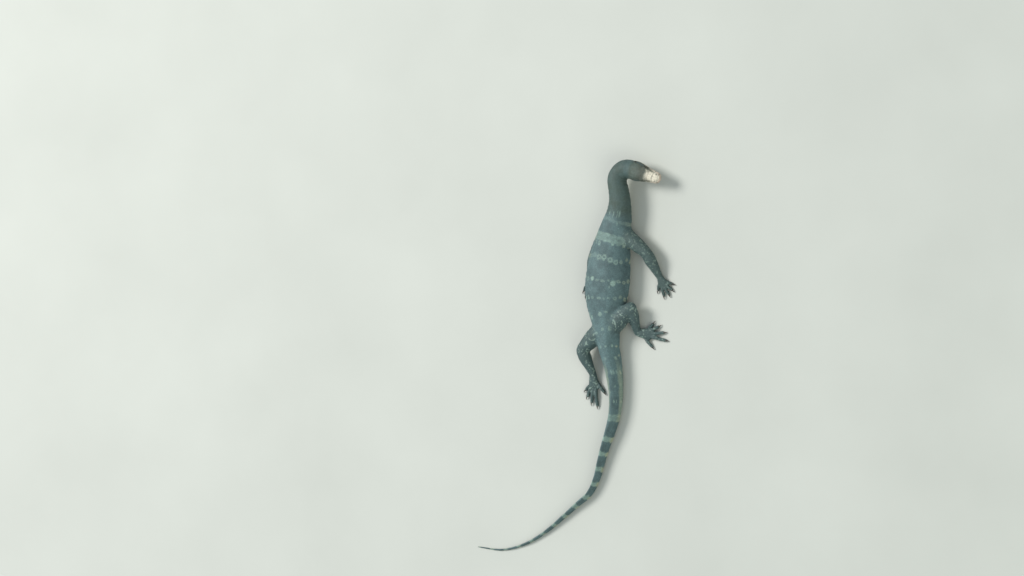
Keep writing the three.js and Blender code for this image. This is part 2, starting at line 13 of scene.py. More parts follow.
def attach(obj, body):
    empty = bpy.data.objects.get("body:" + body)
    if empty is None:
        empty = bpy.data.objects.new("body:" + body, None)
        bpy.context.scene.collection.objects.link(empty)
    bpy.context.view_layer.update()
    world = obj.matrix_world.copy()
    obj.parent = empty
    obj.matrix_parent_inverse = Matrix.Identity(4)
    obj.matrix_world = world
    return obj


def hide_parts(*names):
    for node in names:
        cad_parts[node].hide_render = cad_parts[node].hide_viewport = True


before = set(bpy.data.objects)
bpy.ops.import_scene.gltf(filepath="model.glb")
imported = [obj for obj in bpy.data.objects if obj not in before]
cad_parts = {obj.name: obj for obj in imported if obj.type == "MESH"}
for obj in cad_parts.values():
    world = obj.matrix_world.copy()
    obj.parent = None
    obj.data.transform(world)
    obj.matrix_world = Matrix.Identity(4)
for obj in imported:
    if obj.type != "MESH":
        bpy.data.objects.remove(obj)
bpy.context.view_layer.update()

MM = 0.001
UP = np.array([0.0, 0.0, 1.0])
rng = np.random.default_rng(7)

# Head, with its places right, forward and up from the neck joint
HEAD_LENGTH = 98.0
HEAD_HEADING = math.radians(-17)
NECK_HEADING = math.radians(-11)
HEAD_JOINT = np.array([83.0, 359.0])
HEAD_LEVEL = 50.0
SNOUT_DROP = 5.0
EYE_RADIUS = 6.3
EYE_AT = np.array([13.6, 48.0, 7.0])
EYE_AXIS = np.array([1.0, 0.16, 0.12])
EYE_ZONE = 10.0
LID_THICKNESS = 1.3
OPENING_HALF = 5.2
OPENING_UPPER = 3.5
OPENING_LOWER = 3.1
BROW_AT = np.array([10.6, 48.5, 11.4])
BROW_HALF = np.array([7.2, 12.3, 4.8])
BROW_TILT = 0.35
BROW_AXES = np.array(
    [
        [math.cos(BROW_TILT), 0, -math.sin(BROW_TILT)],
        [0, 1, 0],
        [math.sin(BROW_TILT), 0, math.cos(BROW_TILT)],
    ]
)
EAR_AT = np.array([25.4, 14.0, 3.0])
EAR_HALF = (3.4, 5.2)
EAR_SLANT = 0.25
EAR_SIDE = 15
NOSTRIL_AT = np.array([12.4, 85.5, 3.6])
NOSTRIL_HALF = (2.9, 1.7)
NOSTRIL_SIDE = 6
FAR = 9
MOUTH_CORNER = (29.0, -6.0)
MOUTH_FRONT = -4.2
MOUTH_SAG = 2.2
# Distance ahead of the neck joint, half width, rise, fall, narrowing and squareness
HEAD_SECTIONS = [
    [0, 26, 23, 22, 0.06, 2.15],
    [12, 26.5, 22, 22, 0.14, 2.3],
    [26, 26, 21, 20.5, 0.22, 2.4],
    [38, 24, 20.5, 18, 0.26, 2.5],
    [50, 21.5, 19.5, 15.5, 0.3, 2.5],
    [62, 18.5, 16.5, 13.5, 0.3, 2.5],
    [76, 16.2, 13.5, 11.5, 0.24, 2.5],
    [88, 14, 10.8, 9.5, 0.18, 2.4],
    [94.5, 10.6, 8, 7.2, 0.1, 2.2],
    [HEAD_LENGTH, 3.6, 2.8, 2.6, 0, 2],
]

# Neck, trunk and tail, with their routes as places across and ahead on the floor
NECK_BEND_RADIUS = 34.0
LEAD_IN = 12.0
NECK_LENGTH = 176.0
TRUNK_LENGTH = 297.0
VENT = NECK_LENGTH + TRUNK_LENGTH
SINK = 1.2
TAIL_ROOT_HALF = 35.0
TAIL_ROOT_HEIGHT = 66.0
TAIL_ROOT_LEVEL = 30.0
TAIL_TIP_HALF = 1.3
TAIL_TIP_HEIGHT = 3.0
TAIL_TIP_LEVEL = 0.36
TAIL_FLARE = 0.6
TAIL_PEAK = (0.62, 0.14)
TAIL_SINK = 0.12
TAIL_SQUARE = 2.1
TRUNK_ROUTE = [
    [46, 300], [48, 272], [43, 238], [33, 205], [23, 168],
    [12, 110], [3, 45], [0, 0], [0, -45], [3, -90],
]
TAIL_ROUTE = [
    [5, -130], [14, -170], [21, -215], [23, -270], [16, -322], [3, -362],
    [-13, -403], [-27, -445], [-42, -492], [-66, -534], [-106, -566],
    [-152, -602], [-203, -640], [-268, -676], [-345, -696], [-428, -690],
]
# Distance from the head joint, half width, level, top, underside, narrowing and squareness
TRUNK_SECTIONS = [
    [0, 26, 50, 73, 28, 0.06, 2.15],
    [50, 27, 49, 73, 25, 0.04, 2.1],
    [105, 30, 44, 69, 17, 0.04, 2.1],
    [150, 36, 38, 68, 6, 0.06, 2.15],
    [185, 44, 34, 70, -SINK, 0.1, 2.2],
    [230, 52, 33, 74, -SINK, 0.12, 2.2],
    [300, 63, 33, 79, -SINK, 0.12, 2.25],
    [350, 66, 33, 80, -SINK, 0.12, 2.25],
    [400, 59, 33, 76, -SINK, 0.12, 2.25],
    [440, 47, 32, 70, -SINK, 0.12, 2.2],
    [VENT, TAIL_ROOT_HALF, TAIL_ROOT_LEVEL, TAIL_ROOT_HEIGHT, -SINK, 0.14, 2.1],
]

# Limbs: side, kind, joints as right, forward and up, direction of the hand or foot, and spread
Limb = collections.namedtuple("Limb", "side kind joints heading fan")
LIMBS = {
    "right_fore": Limb(1, "fore", [[44, 192, 37], [127, 130, 36], [156, 62, 11]], -64, 0.9),
    "left_fore": Limb(-1, "fore", [[2, 186, 30], [-43, 124, 21], [-64, 58, 11]], -95, 0.6),
    "right_hind": Limb(1, "hind", [[21, -75, 35], [81, -20, 42], [87, -90, 13]], -6, 1.0),
    "left_hind": Limb(-1, "hind", [[-12, -80, 35], [-74, -138, 39], [-52, -206, 13]], -92, 0.85),
}
# Rows are the share of the way along a length, half width and half height
KINDS = {
    "fore": {
        "end": "hand",
        "upper": [[0, 26, 25], [0.35, 23, 22], [0.7, 20, 19], [1, 16.5, 16]],
        "lower": [[0, 16.5, 16], [0.25, 17.5, 16], [0.65, 13, 12], [1, 10, 8.5]],
        "palm": [[0, 10, 8.5], [0.5, 13, 7.5], [1, 15.5, 6.2]],
        "palm_length": 25,
        "spread": [-50, -25, -3, 20, 46],
        "lengths": [19, 27, 31, 30, 21],
        "set_back": [7, 4, 3, 4, 12.5],
        "radius": 4.5,
    },
    "hind": {
        "end": "foot",
        "upper": [[0, 25, 26], [0.35, 25.5, 25.5], [0.7, 21, 21.5], [1, 16.5, 17]],
        "lower": [[0, 16.5, 17], [0.28, 18, 17], [0.65, 13.5, 12.5], [1, 10.5, 9.5]],
        "palm": [[0, 10.5, 9.5], [0.5, 14, 8.5], [1, 16.5, 6.6]],
        "palm_length": 36,
        "spread": [-56, -33, -11, 7, 44],
        "lengths": [22, 33, 45, 54, 34],
        "set_back": [7, 4, 3, 4, 15],
        "radius": 5,
    },
}
LIMB_SQUARE = 2.15
KNUCKLE_SPAN = 0.66
OUTER_SHARE = 0.92
FLOOR_PRESS = 0.4
DIGIT_ROOM = 76
DIGITS = 5
# Rows are the share of the way along a digit or a claw, height and size
DIGIT_ROWS = [
    [-0.12, 1, 1],
    [0.2, 1.6, 1],
    [0.42, 3.4, 1.04],
    [0.62, 2.4, 0.9],
    [0.84, -0.1, 0.94],
    [1, -0.8, 0.78],
]
CLAW_LENGTH = 11.0
CLAW_HALF = (2.3, 3.2)
CLAW_TIP = 0.5
CLAW_ROWS = [[0, 0.8, 1], [0.35, 0.88, 0.84], [0.7, 0.5, 0.52], [1, 0.06, 0.12]]

# Fineness of the skin, and the parts of the head where it is finer: their middles and reach
VOXEL = 1.7
COAT_DEPTH = 0.3
BODY_STEP = 3.0
BODY_SIDES = 96
HEAD_STEPS = 100
LIMB_SIDES = 40
DIGIT_SIDES = 20
TAIL_FINE_FROM = VENT + 430
MOUTH_FINE = 4.5
BLENDED = (0.6, 50)
EVENED = (0.35, 3)
# How far out from a limb, its digits, the body and the head skin and scales still belong to it
NEAR_LIMB = 2.4
NEAR_DIGITS = 6
OFF_BODY = 1.12
HEAD_REACH = 36
HEAD_OVERLAP = 4
FINE_PLACES = [(EYE_AT + [3, 0, 0], 14), (EAR_AT, 9), (NOSTRIL_AT, 6)]


def unit(v):
    v = np.asarray(v, float)
    return v / np.linalg.norm(v, axis=-1, keepdims=True)


def lerp(a, b, t):
    return a + (b - a) * t


def smoothstep(low, high, x):
    t = np.clip((x - low) / (high - low), 0, 1)
    return t * t * (3 - 2 * t)


def bell(x, width):
    return np.exp(-((x / width) ** 2))


def wave(x, length):
    return np.sin(2 * math.pi * x / length)


def circle(sides):
    return np.linspace(0, 2 * math.pi, sides, endpoint=False)


def root(value, power):
    return np.sign(value) * np.abs(value) ** (2 / power)


def between(rows, x, column):
    """A smooth value between the rows of a table whose first column is the place along it."""
    rows = np.asarray(rows, float)
    knots, values = rows[:, 0], rows[:, column]
    slopes = np.empty_like(values)
    slopes[1:-1] = (values[2:] - values[:-2]) / (knots[2:] - knots[:-2])
    slopes[0] = (values[1] - values[0]) / (knots[1] - knots[0])
    slopes[-1] = (values[-1] - values[-2]) / (knots[-1] - knots[-2])
    x = np.clip(x, knots[0], knots[-1])
    k = np.clip(np.searchsorted(knots, x) - 1, 0, len(knots) - 2)
    span = knots[k + 1] - knots[k]
    t = (x - knots[k]) / span
    return (
        (2 * t**3 - 3 * t**2 + 1) * values[k]
        + (t**3 - 2 * t**2 + t) * span * slopes[k]
        + (3 * t**2 - 2 * t**3) * values[k + 1]
        + (t**3 - t**2) * span * slopes[k + 1]
    )


def noise(points, size, seed=0):
    """Smooth noise from -1 to 1, with lumps of about a size."""
    q = np.asarray(points, float) / size + seed * 17.31
    cell = np.floor(q).astype(np.int64)
    f = q - cell
    f = f * f * (3 - 2 * f)
    total = np.zeros(len(q))
    for corner in itertools.product((0, 1), repeat=3):
        c = cell + corner
        mixed = (c[:, 0] * 73856093) ^ (c[:, 1] * 19349663) ^ (c[:, 2] * 83492791)
        mixed = (mixed * 2654435761) & 0xFFFFFFFF
        value = ((mixed >> 8) & 0xFFFF) / 32767.5 - 1
        weight = np.prod(np.where(np.array(corner), f, 1 - f), axis=1)
        total += weight * value
    return total


# The body's centre line on the floor plan, by distance from the head joint
def catmull_rom(points, per_span=60):
    points = np.asarray(points, float)
    p = np.vstack([2 * points[0] - points[1], points, 2 * points[-1] - points[-2]])
    out = []
    t = np.linspace(0, 1, per_span, endpoint=False)[:, None]
    for a, b, c, d in zip(p, p[1:], p[2:], p[3:]):
        ab, bc, cd = (np.linalg.norm(q) ** 0.5 for q in (b - a, c - b, d - c))
        start = ((b - a) / ab - (c - a) / (ab + bc) + (c - b) / bc) * bc
        end = ((c - b) / bc - (d - b) / (bc + cd) + (d - c) / cd) * bc
        square = 3 * (c - b) - 2 * start - end
        out.append(b + start * t + square * t**2 + (2 * (b - c) + start + end) * t**3)
    return np.vstack([*out, points[-1:]])


def neck_bend():
    forward = np.array([math.cos(NECK_HEADING), math.sin(NECK_HEADING)])
    centre = HEAD_JOINT + NECK_BEND_RADIUS * np.array([forward[1], -forward[0]])
    turns = np.arange(90 + math.degrees(NECK_HEADING), 180.01, 25)
    arc = [centre + NECK_BEND_RADIUS * np.array([math.cos(a), math.sin(a)]) for a in np.radians(turns)]
    return [HEAD_JOINT + LEAD_IN * forward, *arc]


spine = catmull_rom([*neck_bend(), *TRUNK_ROUTE, *TAIL_ROUTE])
spine_steps = np.linalg.norm(np.diff(spine, axis=0), axis=1)
spine_reach = np.concatenate([[0], np.cumsum(spine_steps)]) - LEAD_IN
SPINE_LENGTH = spine_reach[-1]


def spine_at(distance):
    """Places on the centre line and the directions to the animal's right of it."""
    distance = np.asarray(distance, float)
    near = [np.interp(distance, spine_reach, spine[:, k]) for k in (0, 1)]
    ahead = [np.interp(distance - 1, spine_reach, spine[:, k]) for k in (0, 1)]
    behind = [np.interp(distance + 1, spine_reach, spine[:, k]) for k in (0, 1)]
    back = unit(np.stack([behind[0] - ahead[0], behind[1] - ahead[1]], -1))
    right = np.stack([-back[..., 1], back[..., 0]], -1)
    return np.stack(near, -1), right


def tail_share(distance):
    return np.clip((distance - VENT) / (SPINE_LENGTH - VENT), 0, 1)


def body_section(distance):
    """Half width, level, top, underside, narrowing and squareness of the body's section."""
    distance = np.asarray(distance, float)
    trunk = [between(TRUNK_SECTIONS, distance, column) for column in range(1, 7)]
    left = 1 - tail_share(distance)
    half = lerp(TAIL_TIP_HALF, TAIL_ROOT_HALF, lerp(left, left**4, TAIL_FLARE))
    height = lerp(TAIL_TIP_HEIGHT, TAIL_ROOT_HEIGHT, left**1.3)
    level = height * lerp(TAIL_TIP_LEVEL, TAIL_ROOT_LEVEL / TAIL_ROOT_HEIGHT, left)
    under = -np.minimum(SINK, height * TAIL_SINK)
    tail = [half, level, height, under, lerp(*TAIL_PEAK, left**3), np.full_like(half, TAIL_SQUARE)]
    on_tail = distance > VENT
    return [np.where(on_tail, b, a) for a, b in zip(trunk, tail)]


def section_point(section, angle):
    """How far across and how high a section's outline is at an angle from its right side."""
    half, level, top, under, peak, square = section
    c, s = np.cos(angle), np.sin(angle)
    rise = np.where(s > 0, top - level, level - under)
    z = rise * root(s, square)
    narrow = np.where(s > 0, 1 - peak * z / rise, 1)
    return half * root(c, square) * narrow, level + z


def body_points(distance, angle):
    across, height = section_point(body_section(distance), angle)
    centre, right = spine_at(distance)
    return np.concatenate([centre + right * across[..., None], height[..., None]], -1)


# Meshes as pairs of vertices and faces
def loft(rings):
    """The closed mesh through a grid of rings, with a fan over each end."""
    count, sides = rings.shape[:2]
    points = rings.reshape(-1, 3)
    i, k = np.meshgrid(np.arange(count - 1), np.arange(sides), indexing="ij")
    a, b = i * sides + k, i * sides + (k + 1) % sides
    quads = np.stack([a, b, b + sides, a + sides], -1).reshape(-1, 4)
    ends = np.vstack([rings[0].mean(0), rings[-1].mean(0)])
    first = np.arange(sides)
    after = (first + 1) % sides
    last = (count - 1) * sides
    near = np.stack([after, first, np.full(sides, len(points))], -1)
    far = np.stack([last + first, last + after, np.full(sides, len(points) + 1)], -1)
    return np.vstack([points, ends]), [*quads.tolist(), *near.tolist(), *far.tolist()]


def joined(meshes):
    points, faces, start = [], [], 0
    for p, f in meshes:
        points.append(p)
        faces += [[v + start for v in face] for face in f]
        start += len(p)
    return np.vstack(points), faces


def body_loft():
    distance = np.arange(2 - LEAD_IN, SPINE_LENGTH, BODY_STEP)
    distance = np.append(distance, SPINE_LENGTH)
    return loft(body_points(*np.meshgrid(distance, circle(BODY_SIDES), indexing="ij")))


head_forward = np.array([math.cos(HEAD_HEADING), math.sin(HEAD_HEADING), 0])
head_right = np.array([math.sin(HEAD_HEADING), -math.cos(HEAD_HEADING), 0])
head_base = np.array([*HEAD_JOINT, HEAD_LEVEL])
head_frame = np.vstack([head_right, head_forward, UP])


def from_head(local):
    return head_base + local @ head_frame


def to_head(points):
    return (points - head_base) @ head_frame.T


def snout_drop(y):
    return SNOUT_DROP * (y / HEAD_LENGTH) ** 2


def head_section(y):
    half, rise, fall, peak, square = (between(HEAD_SECTIONS, y, column) for column in range(1, 6))
    level = -snout_drop(y)
    return half, level, level + rise, level - fall, peak, square


def head_loft():
    along = 1 - (1 - np.linspace(0, 1, HEAD_STEPS)) ** 1.25
    y, angle = np.meshgrid(along * HEAD_LENGTH, circle(BODY_SIDES), indexing="ij")
    x, z = section_point(head_section(y), angle)
    return loft(from_head(np.stack([x, y, z], -1))[:, ::-1])


def mouth_height(y):
    t = np.clip((y - MOUTH_CORNER[0]) / (HEAD_LENGTH - MOUTH_CORNER[0]), 0, 1)
    return lerp(MOUTH_CORNER[1], MOUTH_FRONT, t) - MOUTH_SAG * np.sin(math.pi * t**0.7)


# Limbs
def heading_vector(angle):
    return np.array([math.cos(math.radians(angle)), math.sin(math.radians(angle)), 0])


def ovals(centres, across, up, half, high, sides):
    c, s = root(np.cos(circle(sides)), LIMB_SQUARE), root(np.sin(circle(sides)), LIMB_SQUARE)
    sideways, upwards = (half[:, None] * c)[..., None], (high[:, None] * s)[..., None]
    return centres[:, None] + across * sideways + up * upwards


def limb_length(start, end, rows):
    """A straight length of limb between two joints, rounded past both of its ends."""
    forward = end - start
    length = np.linalg.norm(forward)
    forward = forward / length
    across = unit(np.cross(forward, UP))
    up = np.cross(across, forward)
    turns = np.radians(np.linspace(12, 86, 8))
    middle = np.linspace(0, 1, max(8, int(length / 3)))
    t = np.concatenate([np.zeros(8), middle, np.ones(8)])
    beyond = np.concatenate([-np.sin(turns[::-1]), np.zeros(len(middle)), np.sin(turns)])
    share = np.concatenate([np.cos(turns[::-1]), np.ones(len(middle)), np.cos(turns)])
    half, high = between(rows, t, 1), between(rows, t, 2)
    centres = start + forward * (t * length + beyond * np.minimum(half, high))[:, None]
    return loft(ovals(centres, across, up, half * share, high * share, LIMB_SIDES))


def kind_of(name):
    return KINDS[LIMBS[name].kind]


def limb_joints(name):
    kind = kind_of(name)
    first, middle, last = np.array(LIMBS[name].joints, float)
    knuckles = last + heading_vector(LIMBS[name].heading) * kind["palm_length"]
    knuckles[2] = kind["palm"][2][2] - FLOOR_PRESS
    return first, middle, last, knuckles


def digit_route(name, index):
    """Where a digit starts, its direction, its length and its thickness."""
    limb, kind = LIMBS[name], kind_of(name)
    forward = heading_vector(limb.heading)
    direction = heading_vector(limb.heading - limb.side * limb.fan * kind["spread"][index])
    lateral = np.cross(forward, UP) * limb.side
    across = (index - 2) / 2
    thick = kind["radius"] * (OUTER_SHARE if abs(across) == 1 else 1)
    base = limb_joints(name)[3] + lateral * across * kind["palm"][2][1] * KNUCKLE_SPAN
    base = base - forward * kind["set_back"][index]
    return base, direction, kind["lengths"][index], thick


def digit_loft(name, index):
    base, direction, reach, thick = digit_route(name, index)
    t = np.linspace(DIGIT_ROWS[0][0], 1, 40)
    centres = base + direction * (t * reach)[:, None]
    centres[:, 2] = thick + between(DIGIT_ROWS, t, 1)
    size = thick * between(DIGIT_ROWS, t, 2)
    turns = np.radians(np.linspace(15, 80, 5))
    tip = centres[-1] + direction * (np.sin(turns) * size[-1] * 0.5)[:, None]
    centres = np.vstack([centres, tip])
    size = np.concatenate([size, size[-1] * np.cos(turns)])
    return loft(ovals(centres, np.cross(direction, UP), UP, size, size, DIGIT_SIDES))


def limb_lofts(name):
    joints = limb_joints(name)
    lengths = [
        limb_length(start, end, kind_of(name)[part])
        for start, end, part in zip(joints, joints[1:], ("upper", "lower", "palm"))
    ]
    return lengths + [digit_loft(name, index) for index in range(DIGITS)]


# Blender meshes and numpy arrays
def placed(name, data):
    obj = bpy.data.objects.new(name, data)
    bpy.context.scene.collection.objects.link(obj)
    return obj


def write(items, field, values, kind=np.float32):
    items.foreach_set(field, np.asarray(values).astype(kind).ravel())


def new_object(name, points, faces):
    mesh = bpy.data.meshes.new(name)
    mesh.from_pydata((points * MM).tolist(), [], faces)
    return placed(name, mesh)


def read(items, field, width, kind=np.float32):
    values = np.empty(len(items) * width, kind)
    items.foreach_get(field, values)
    return values.reshape(-1, width)


def places(mesh):
    return read(mesh.vertices, "co", 3).astype(float) / MM


def normals(mesh):
    return read(mesh.vertices, "normal", 3).astype(float)


def put(mesh, points):
    write(mesh.vertices, "co", points * MM)
    mesh.update()


def smooth(mesh):
    write(mesh.polygons, "use_smooth", np.ones(len(mesh.polygons)), bool)


def relax(points, pairs, weight, steps):
    """Draws each point towards the middle of its neighbours."""
    count = len(points)
    a, b = pairs.T
    share = np.bincount(a, minlength=count) + np.bincount(b, minlength=count)
    points = points.copy()
    for _ in range(steps):
        for k in range(3):
            total = np.bincount(a, points[b, k], count) + np.bincount(b, points[a, k], count)
            points[:, k] += weight * (total / share - points[:, k])
    return points


def remeshed(name, points, faces, voxel):
    """One closed mesh round all the lofts."""
    rough = new_object(name + "_rough", points, faces)
    union = rough.modifiers.new("union", "REMESH")
    union.mode = "VOXEL"
    union.voxel_size = voxel * MM
    evaluated = rough.evaluated_get(bpy.context.evaluated_depsgraph_get())
    mesh = bpy.data.meshes.new_from_object(evaluated)
    mesh.name = name
    bpy.data.objects.remove(rough)
    return placed(name, mesh)


def refine(mesh, chosen):
    """Halves the faces between the chosen vertices."""
    bm = bmesh.new()
    bm.from_mesh(mesh)
    edges = [e for e in bm.edges if chosen[e.verts[0].index] and chosen[e.verts[1].index]]
    bmesh.ops.subdivide_edges(bm, edges=edges, cuts=1, use_grid_fill=True)
    bm.to_mesh(mesh)
    bm.free()


def nearest(tree, points):
    """The nearest places of a surface to some points, how far they are and on which faces."""
    found = [tree.find_nearest(p) for p in points.tolist()]
    return np.array([f[0] for f in found]), np.array([f[3] for f in found]), [f[2] for f in found]


def tree_of(points):
    tree = KDTree(len(points))
    for index, point in enumerate(points.tolist()):
        tree.insert(point, index)
    tree.balance()
    return tree


spine_tree = tree_of(np.column_stack([spine, np.zeros(len(spine))]))


def body_coordinates(points):
    """Distance along the spine, angle round it, and how far out: 1 is on the body's surface."""
    found = np.array([spine_tree.find((x, y, 0))[1] for x, y in points[:, :2].tolist()])
    distance = spine_reach[found]
    centre, right = spine_at(distance)
    across = ((points[:, :2] - centre) * right).sum(1)
    half, level, top, under, peak, square = body_section(distance)
    z = points[:, 2] - level
    rise = np.where(z > 0, top - level, level - under)
    narrow = np.where(z > 0, 1 - peak * np.clip(z / rise, 0, 1), 1)
    high = np.sign(z) * np.abs(z / rise) ** (square / 2)
    wide = np.sign(across) * np.abs(across / (half * narrow)) ** (square / 2)
    return distance, np.arctan2(high, wide), np.hypot(high, wide)


def limb_coordinates(name, points):
    """How far along a limb, in joints from 0 to 3, and how far out: 1 is on its surface."""
    joints = limb_joints(name)
    kind = kind_of(name)
    best = np.full(len(points), np.inf)
    along = np.zeros(len(points))
    for k, rows in enumerate((kind["upper"], kind["lower"], kind["palm"])):
        start, end = joints[k], joints[k + 1]
        line = end - start
        t = np.clip((points - start) @ line / (line @ line), 0, 1)
        gap = np.linalg.norm(points - start - t[:, None] * line, axis=1)
        out = gap / (0.5 * (between(rows, t, 1) + between(rows, t, 2)))
        closer = out < best
        best = np.where(closer, out, best)
        along = np.where(closer, k + t, along)
    return along, best


def held_by_limb(name, points, body_out):
    """How far along a limb each point is, and which points are on it but not on the body."""
    along, out = limb_coordinates(name, points)
    near = (out < NEAR_LIMB) | ((along > 2.5) & (out < NEAR_DIGITS))
    return along, near & (body_out > OFF_BODY)


# The skin: one surface over all the flesh
def on_head(local):
    x, y, z = local.T
    return (y > -HEAD_OVERLAP) & (np.abs(x) < HEAD_REACH) & (np.abs(z) < HEAD_REACH)


def fine_on_head(local):
    """The rims of eyes, ears and nostrils and the line of the mouth."""
    mirrored = np.abs(local * [1, 0, 0]) + local * [0, 1, 1]
    fine = np.abs(local[:, 2] - mouth_height(local[:, 1])) < MOUTH_FINE
    fine &= local[:, 1] > MOUTH_CORNER[0] - 6
    for middle, reach in FINE_PLACES:
        fine |= np.linalg.norm(mirrored - middle, axis=1) < reach
    return on_head(local) & fine


def past_wrist(name, points):
    """How far points are past a wrist or ankle, and which of them are near that hand or foot."""
    away = points - limb_joints(name)[2]
    near = np.linalg.norm(away, axis=1) < kind_of(name)["palm_length"] + DIGIT_ROOM
    return away @ heading_vector(LIMBS[name].heading), near


def near_digits(points):
    near = np.zeros(len(points), bool)
    for name in LIMBS:
        ahead, close = past_wrist(name, points)
        near |= close & (points[:, 2] < 24) & (ahead > -6)
    return near


def in_neck_bend(points):
    distance, angle, out = body_coordinates(points)
    return (distance > -8) & (distance < 80) & (np.cos(angle) > -0.2) & (out < 1.3)


def blend_weight(points, local, out):
    """Where the skin runs smoothly from one form into the next."""
    weight = bell(local[:, 1] - 4, 11) * (np.abs(local[:, 0]) < 45) * (points[:, 1] > 300)
    for name in LIMBS:
        along, limb_out = limb_coordinates(name, points)
        root_zone = smoothstep(1.5, 1.05, limb_out) * smoothstep(1.9, 1.2, out)
        root_zone = root_zone * smoothstep(0.85, 0.95, out) * smoothstep(1.2, 0.9, along)
        bends = bell(along - 1, 0.22) + 0.7 * bell(along - 2, 0.2) + 0.4 * bell(along - 3, 0.2)
        weight = np.maximum(weight, root_zone)
        weight = np.maximum(weight, 0.9 * bends * (limb_out < 1.35) * (along > 0.5))
    return np.clip(weight, 0, 1)


def build_skin():
    flesh = [mesh for name in LIMBS for mesh in limb_lofts(name)]
    body, head = body_loft(), head_loft()
    obj = remeshed("skin", *joined([body, head, *flesh]), VOXEL)
    mesh = obj.data
    points = places(mesh)
    pairs = read(mesh.edges, "vertices", 2, np.int32)
    weight = blend_weight(points, to_head(points), body_coordinates(points)[2])
    points = relax(points, pairs, BLENDED[0] * weight, BLENDED[1])
    points = relax(points, pairs, *EVENED)
    put(mesh, points)
    tail_end = body_coordinates(points)[0] > TAIL_FINE_FROM
    refine(mesh, on_head(to_head(points)) | near_digits(points) | tail_end | in_neck_bend(points))
    refine(mesh, fine_on_head(to_head(places(mesh))))
    put(mesh, fitted(places(mesh), body, head, flesh))
    sculpt(mesh)
    return obj


def fitted(points, body, head, flesh):
    """Draws the fine stretches back onto the surfaces that they came from."""
    local = to_head(points)
    distance = body_coordinates(points)[0]
    on_digits = np.zeros(len(points))
    for name in LIMBS:
        ahead, close = past_wrist(name, points)
        on_digits = np.maximum(on_digits, smoothstep(0, 18, ahead) * close)
    stretches = (
        (head, on_head(local), smoothstep(10, 18, local[:, 1])),
        (joined(flesh), near_digits(points), on_digits),
        (body, distance > TAIL_FINE_FROM, np.ones(len(points))),
    )
    for (place, faces), chosen, weight in stretches:
        tree = BVHTree.FromPolygons(place.tolist(), faces)
        found, gap = nearest(tree, points[chosen])[:2]
        share = weight[chosen] * smoothstep(1.1, 0.6, gap)
        points[chosen] = lerp(points[chosen], found, share[:, None])
    return points


# Forms on the body: how high, then where and how far along the spine and down from the top
SWELLINGS = {"shoulders": (1.8, 205, 20, 48, 20), "hips": (1.8, 452, 18, 50, 18)}
# Folds and ribs: how high, and how far apart along the body
NECK_BEND_FOLDS = (0.9, 21)
NECK_RINGS = (0.4, 12)
RIBS = (0.35, 14)


def sculpt_body(points):
    """How far the skin stands out from the plain form of neck, trunk and tail."""
    distance, angle, out = body_coordinates(points)
    turn = np.degrees(angle)
    wander = noise(points, 16, 1)
    from_top = np.abs(((turn - 90 + 180) % 360) - 180)
    side = 90 - from_top
    right_side = np.abs(((turn + 180) % 360) - 180)
    high, apart = NECK_BEND_FOLDS
    bend = bell(right_side, 62) * bell(distance - 22, 28)
    lift = high * bend * np.cos(2 * math.pi * (distance + 2 * wander) / apart)
    throat = smoothstep(20, -30, side)
    lift += 1.1 * throat * (bell(distance - 160, 5) - bell(distance - 170, 5))
    high, apart = NECK_RINGS
    neck = smoothstep(180, 140, distance) * smoothstep(50, 80, distance)
    lift += high * neck * smoothstep(60, 10, side) * wave(distance + 5 * wander, apart)
    trunk = smoothstep(205, 240, distance) * smoothstep(455, 425, distance)
    fold = bell(side + 10 + 5 * wander, 8) - 0.9 * bell(side + 26 + 5 * wander, 8)
    lift += 1.1 * trunk * fold
    high, apart = RIBS
    lift += high * trunk * bell(side - 5, 30) * wave(distance + 4 * wander + 0.12 * side, apart)
    back = smoothstep(190, 230, distance) * smoothstep(VENT + 160, VENT - 20, distance)
    lift += back * (0.6 * bell(from_top - 26, 14) - 0.4 * bell(from_top - 8, 6))
    for high, along, length, down, width in SWELLINGS.values():
        lift += high * bell(distance - along, length) * bell(from_top - down, width)
    tail = smoothstep(VENT, VENT + 40, distance) * smoothstep(VENT + 420, VENT + 150, distance)
    lift -= 1.0 * tail * bell(side - 4, 9)
    lift += 0.3 * noise(points, 15, 2) + 0.18 * noise(points, 7, 3)
    return lift * smoothstep(1.3, 1.08, out)


def sculpt_limbs(points):
    lift = np.zeros(len(points))
    for name in LIMBS:
        along, out = limb_coordinates(name, points)
        on_limb = smoothstep(1.45, 1.2, out) * smoothstep(0.5, 0.7, along)
        creases = np.sin(along * 55 + 1.5 * noise(points, 9, 4))
        bends = bell(along - 1, 0.14) + 0.5 * bell(along - 2, 0.1)
        lift += on_limb * (0.3 * bends * creases + 0.25 * noise(points, 9, 5))
    return lift


def smooth_top(a, b, soft):
    """The larger of two heights, rounded where they cross."""
    gap = np.clip((b - a) / soft, -1, 1)
    return np.where(gap >= 1, b, np.where(gap <= -1, a, (a + b) / 2 + soft * (gap**2 + 1) / 4))


def exit_distance(points, direction, centre, axes, half):
    """How far along its direction each point leaves an ellipsoid, or far inside where it misses."""
    p = (points - centre) @ axes.T / half
    d = direction @ axes.T / half
    a, b, c = (d * d).sum(1), (p * d).sum(1), (p * p).sum(1) - 1
    under_root = b * b - a * c
    reach = (np.sqrt(np.clip(under_root, 0, None)) - b) / a
    return np.where(under_root > 0, reach, -FAR)


# Forms on the head: how high, then where and how wide across, forward and up
HEAD_FORMS = {"cheek": (1.3, 24, 8, 21, 10, -8, 8), "temple": (0.8, 15, 6, 24, 9, 16, 8)}


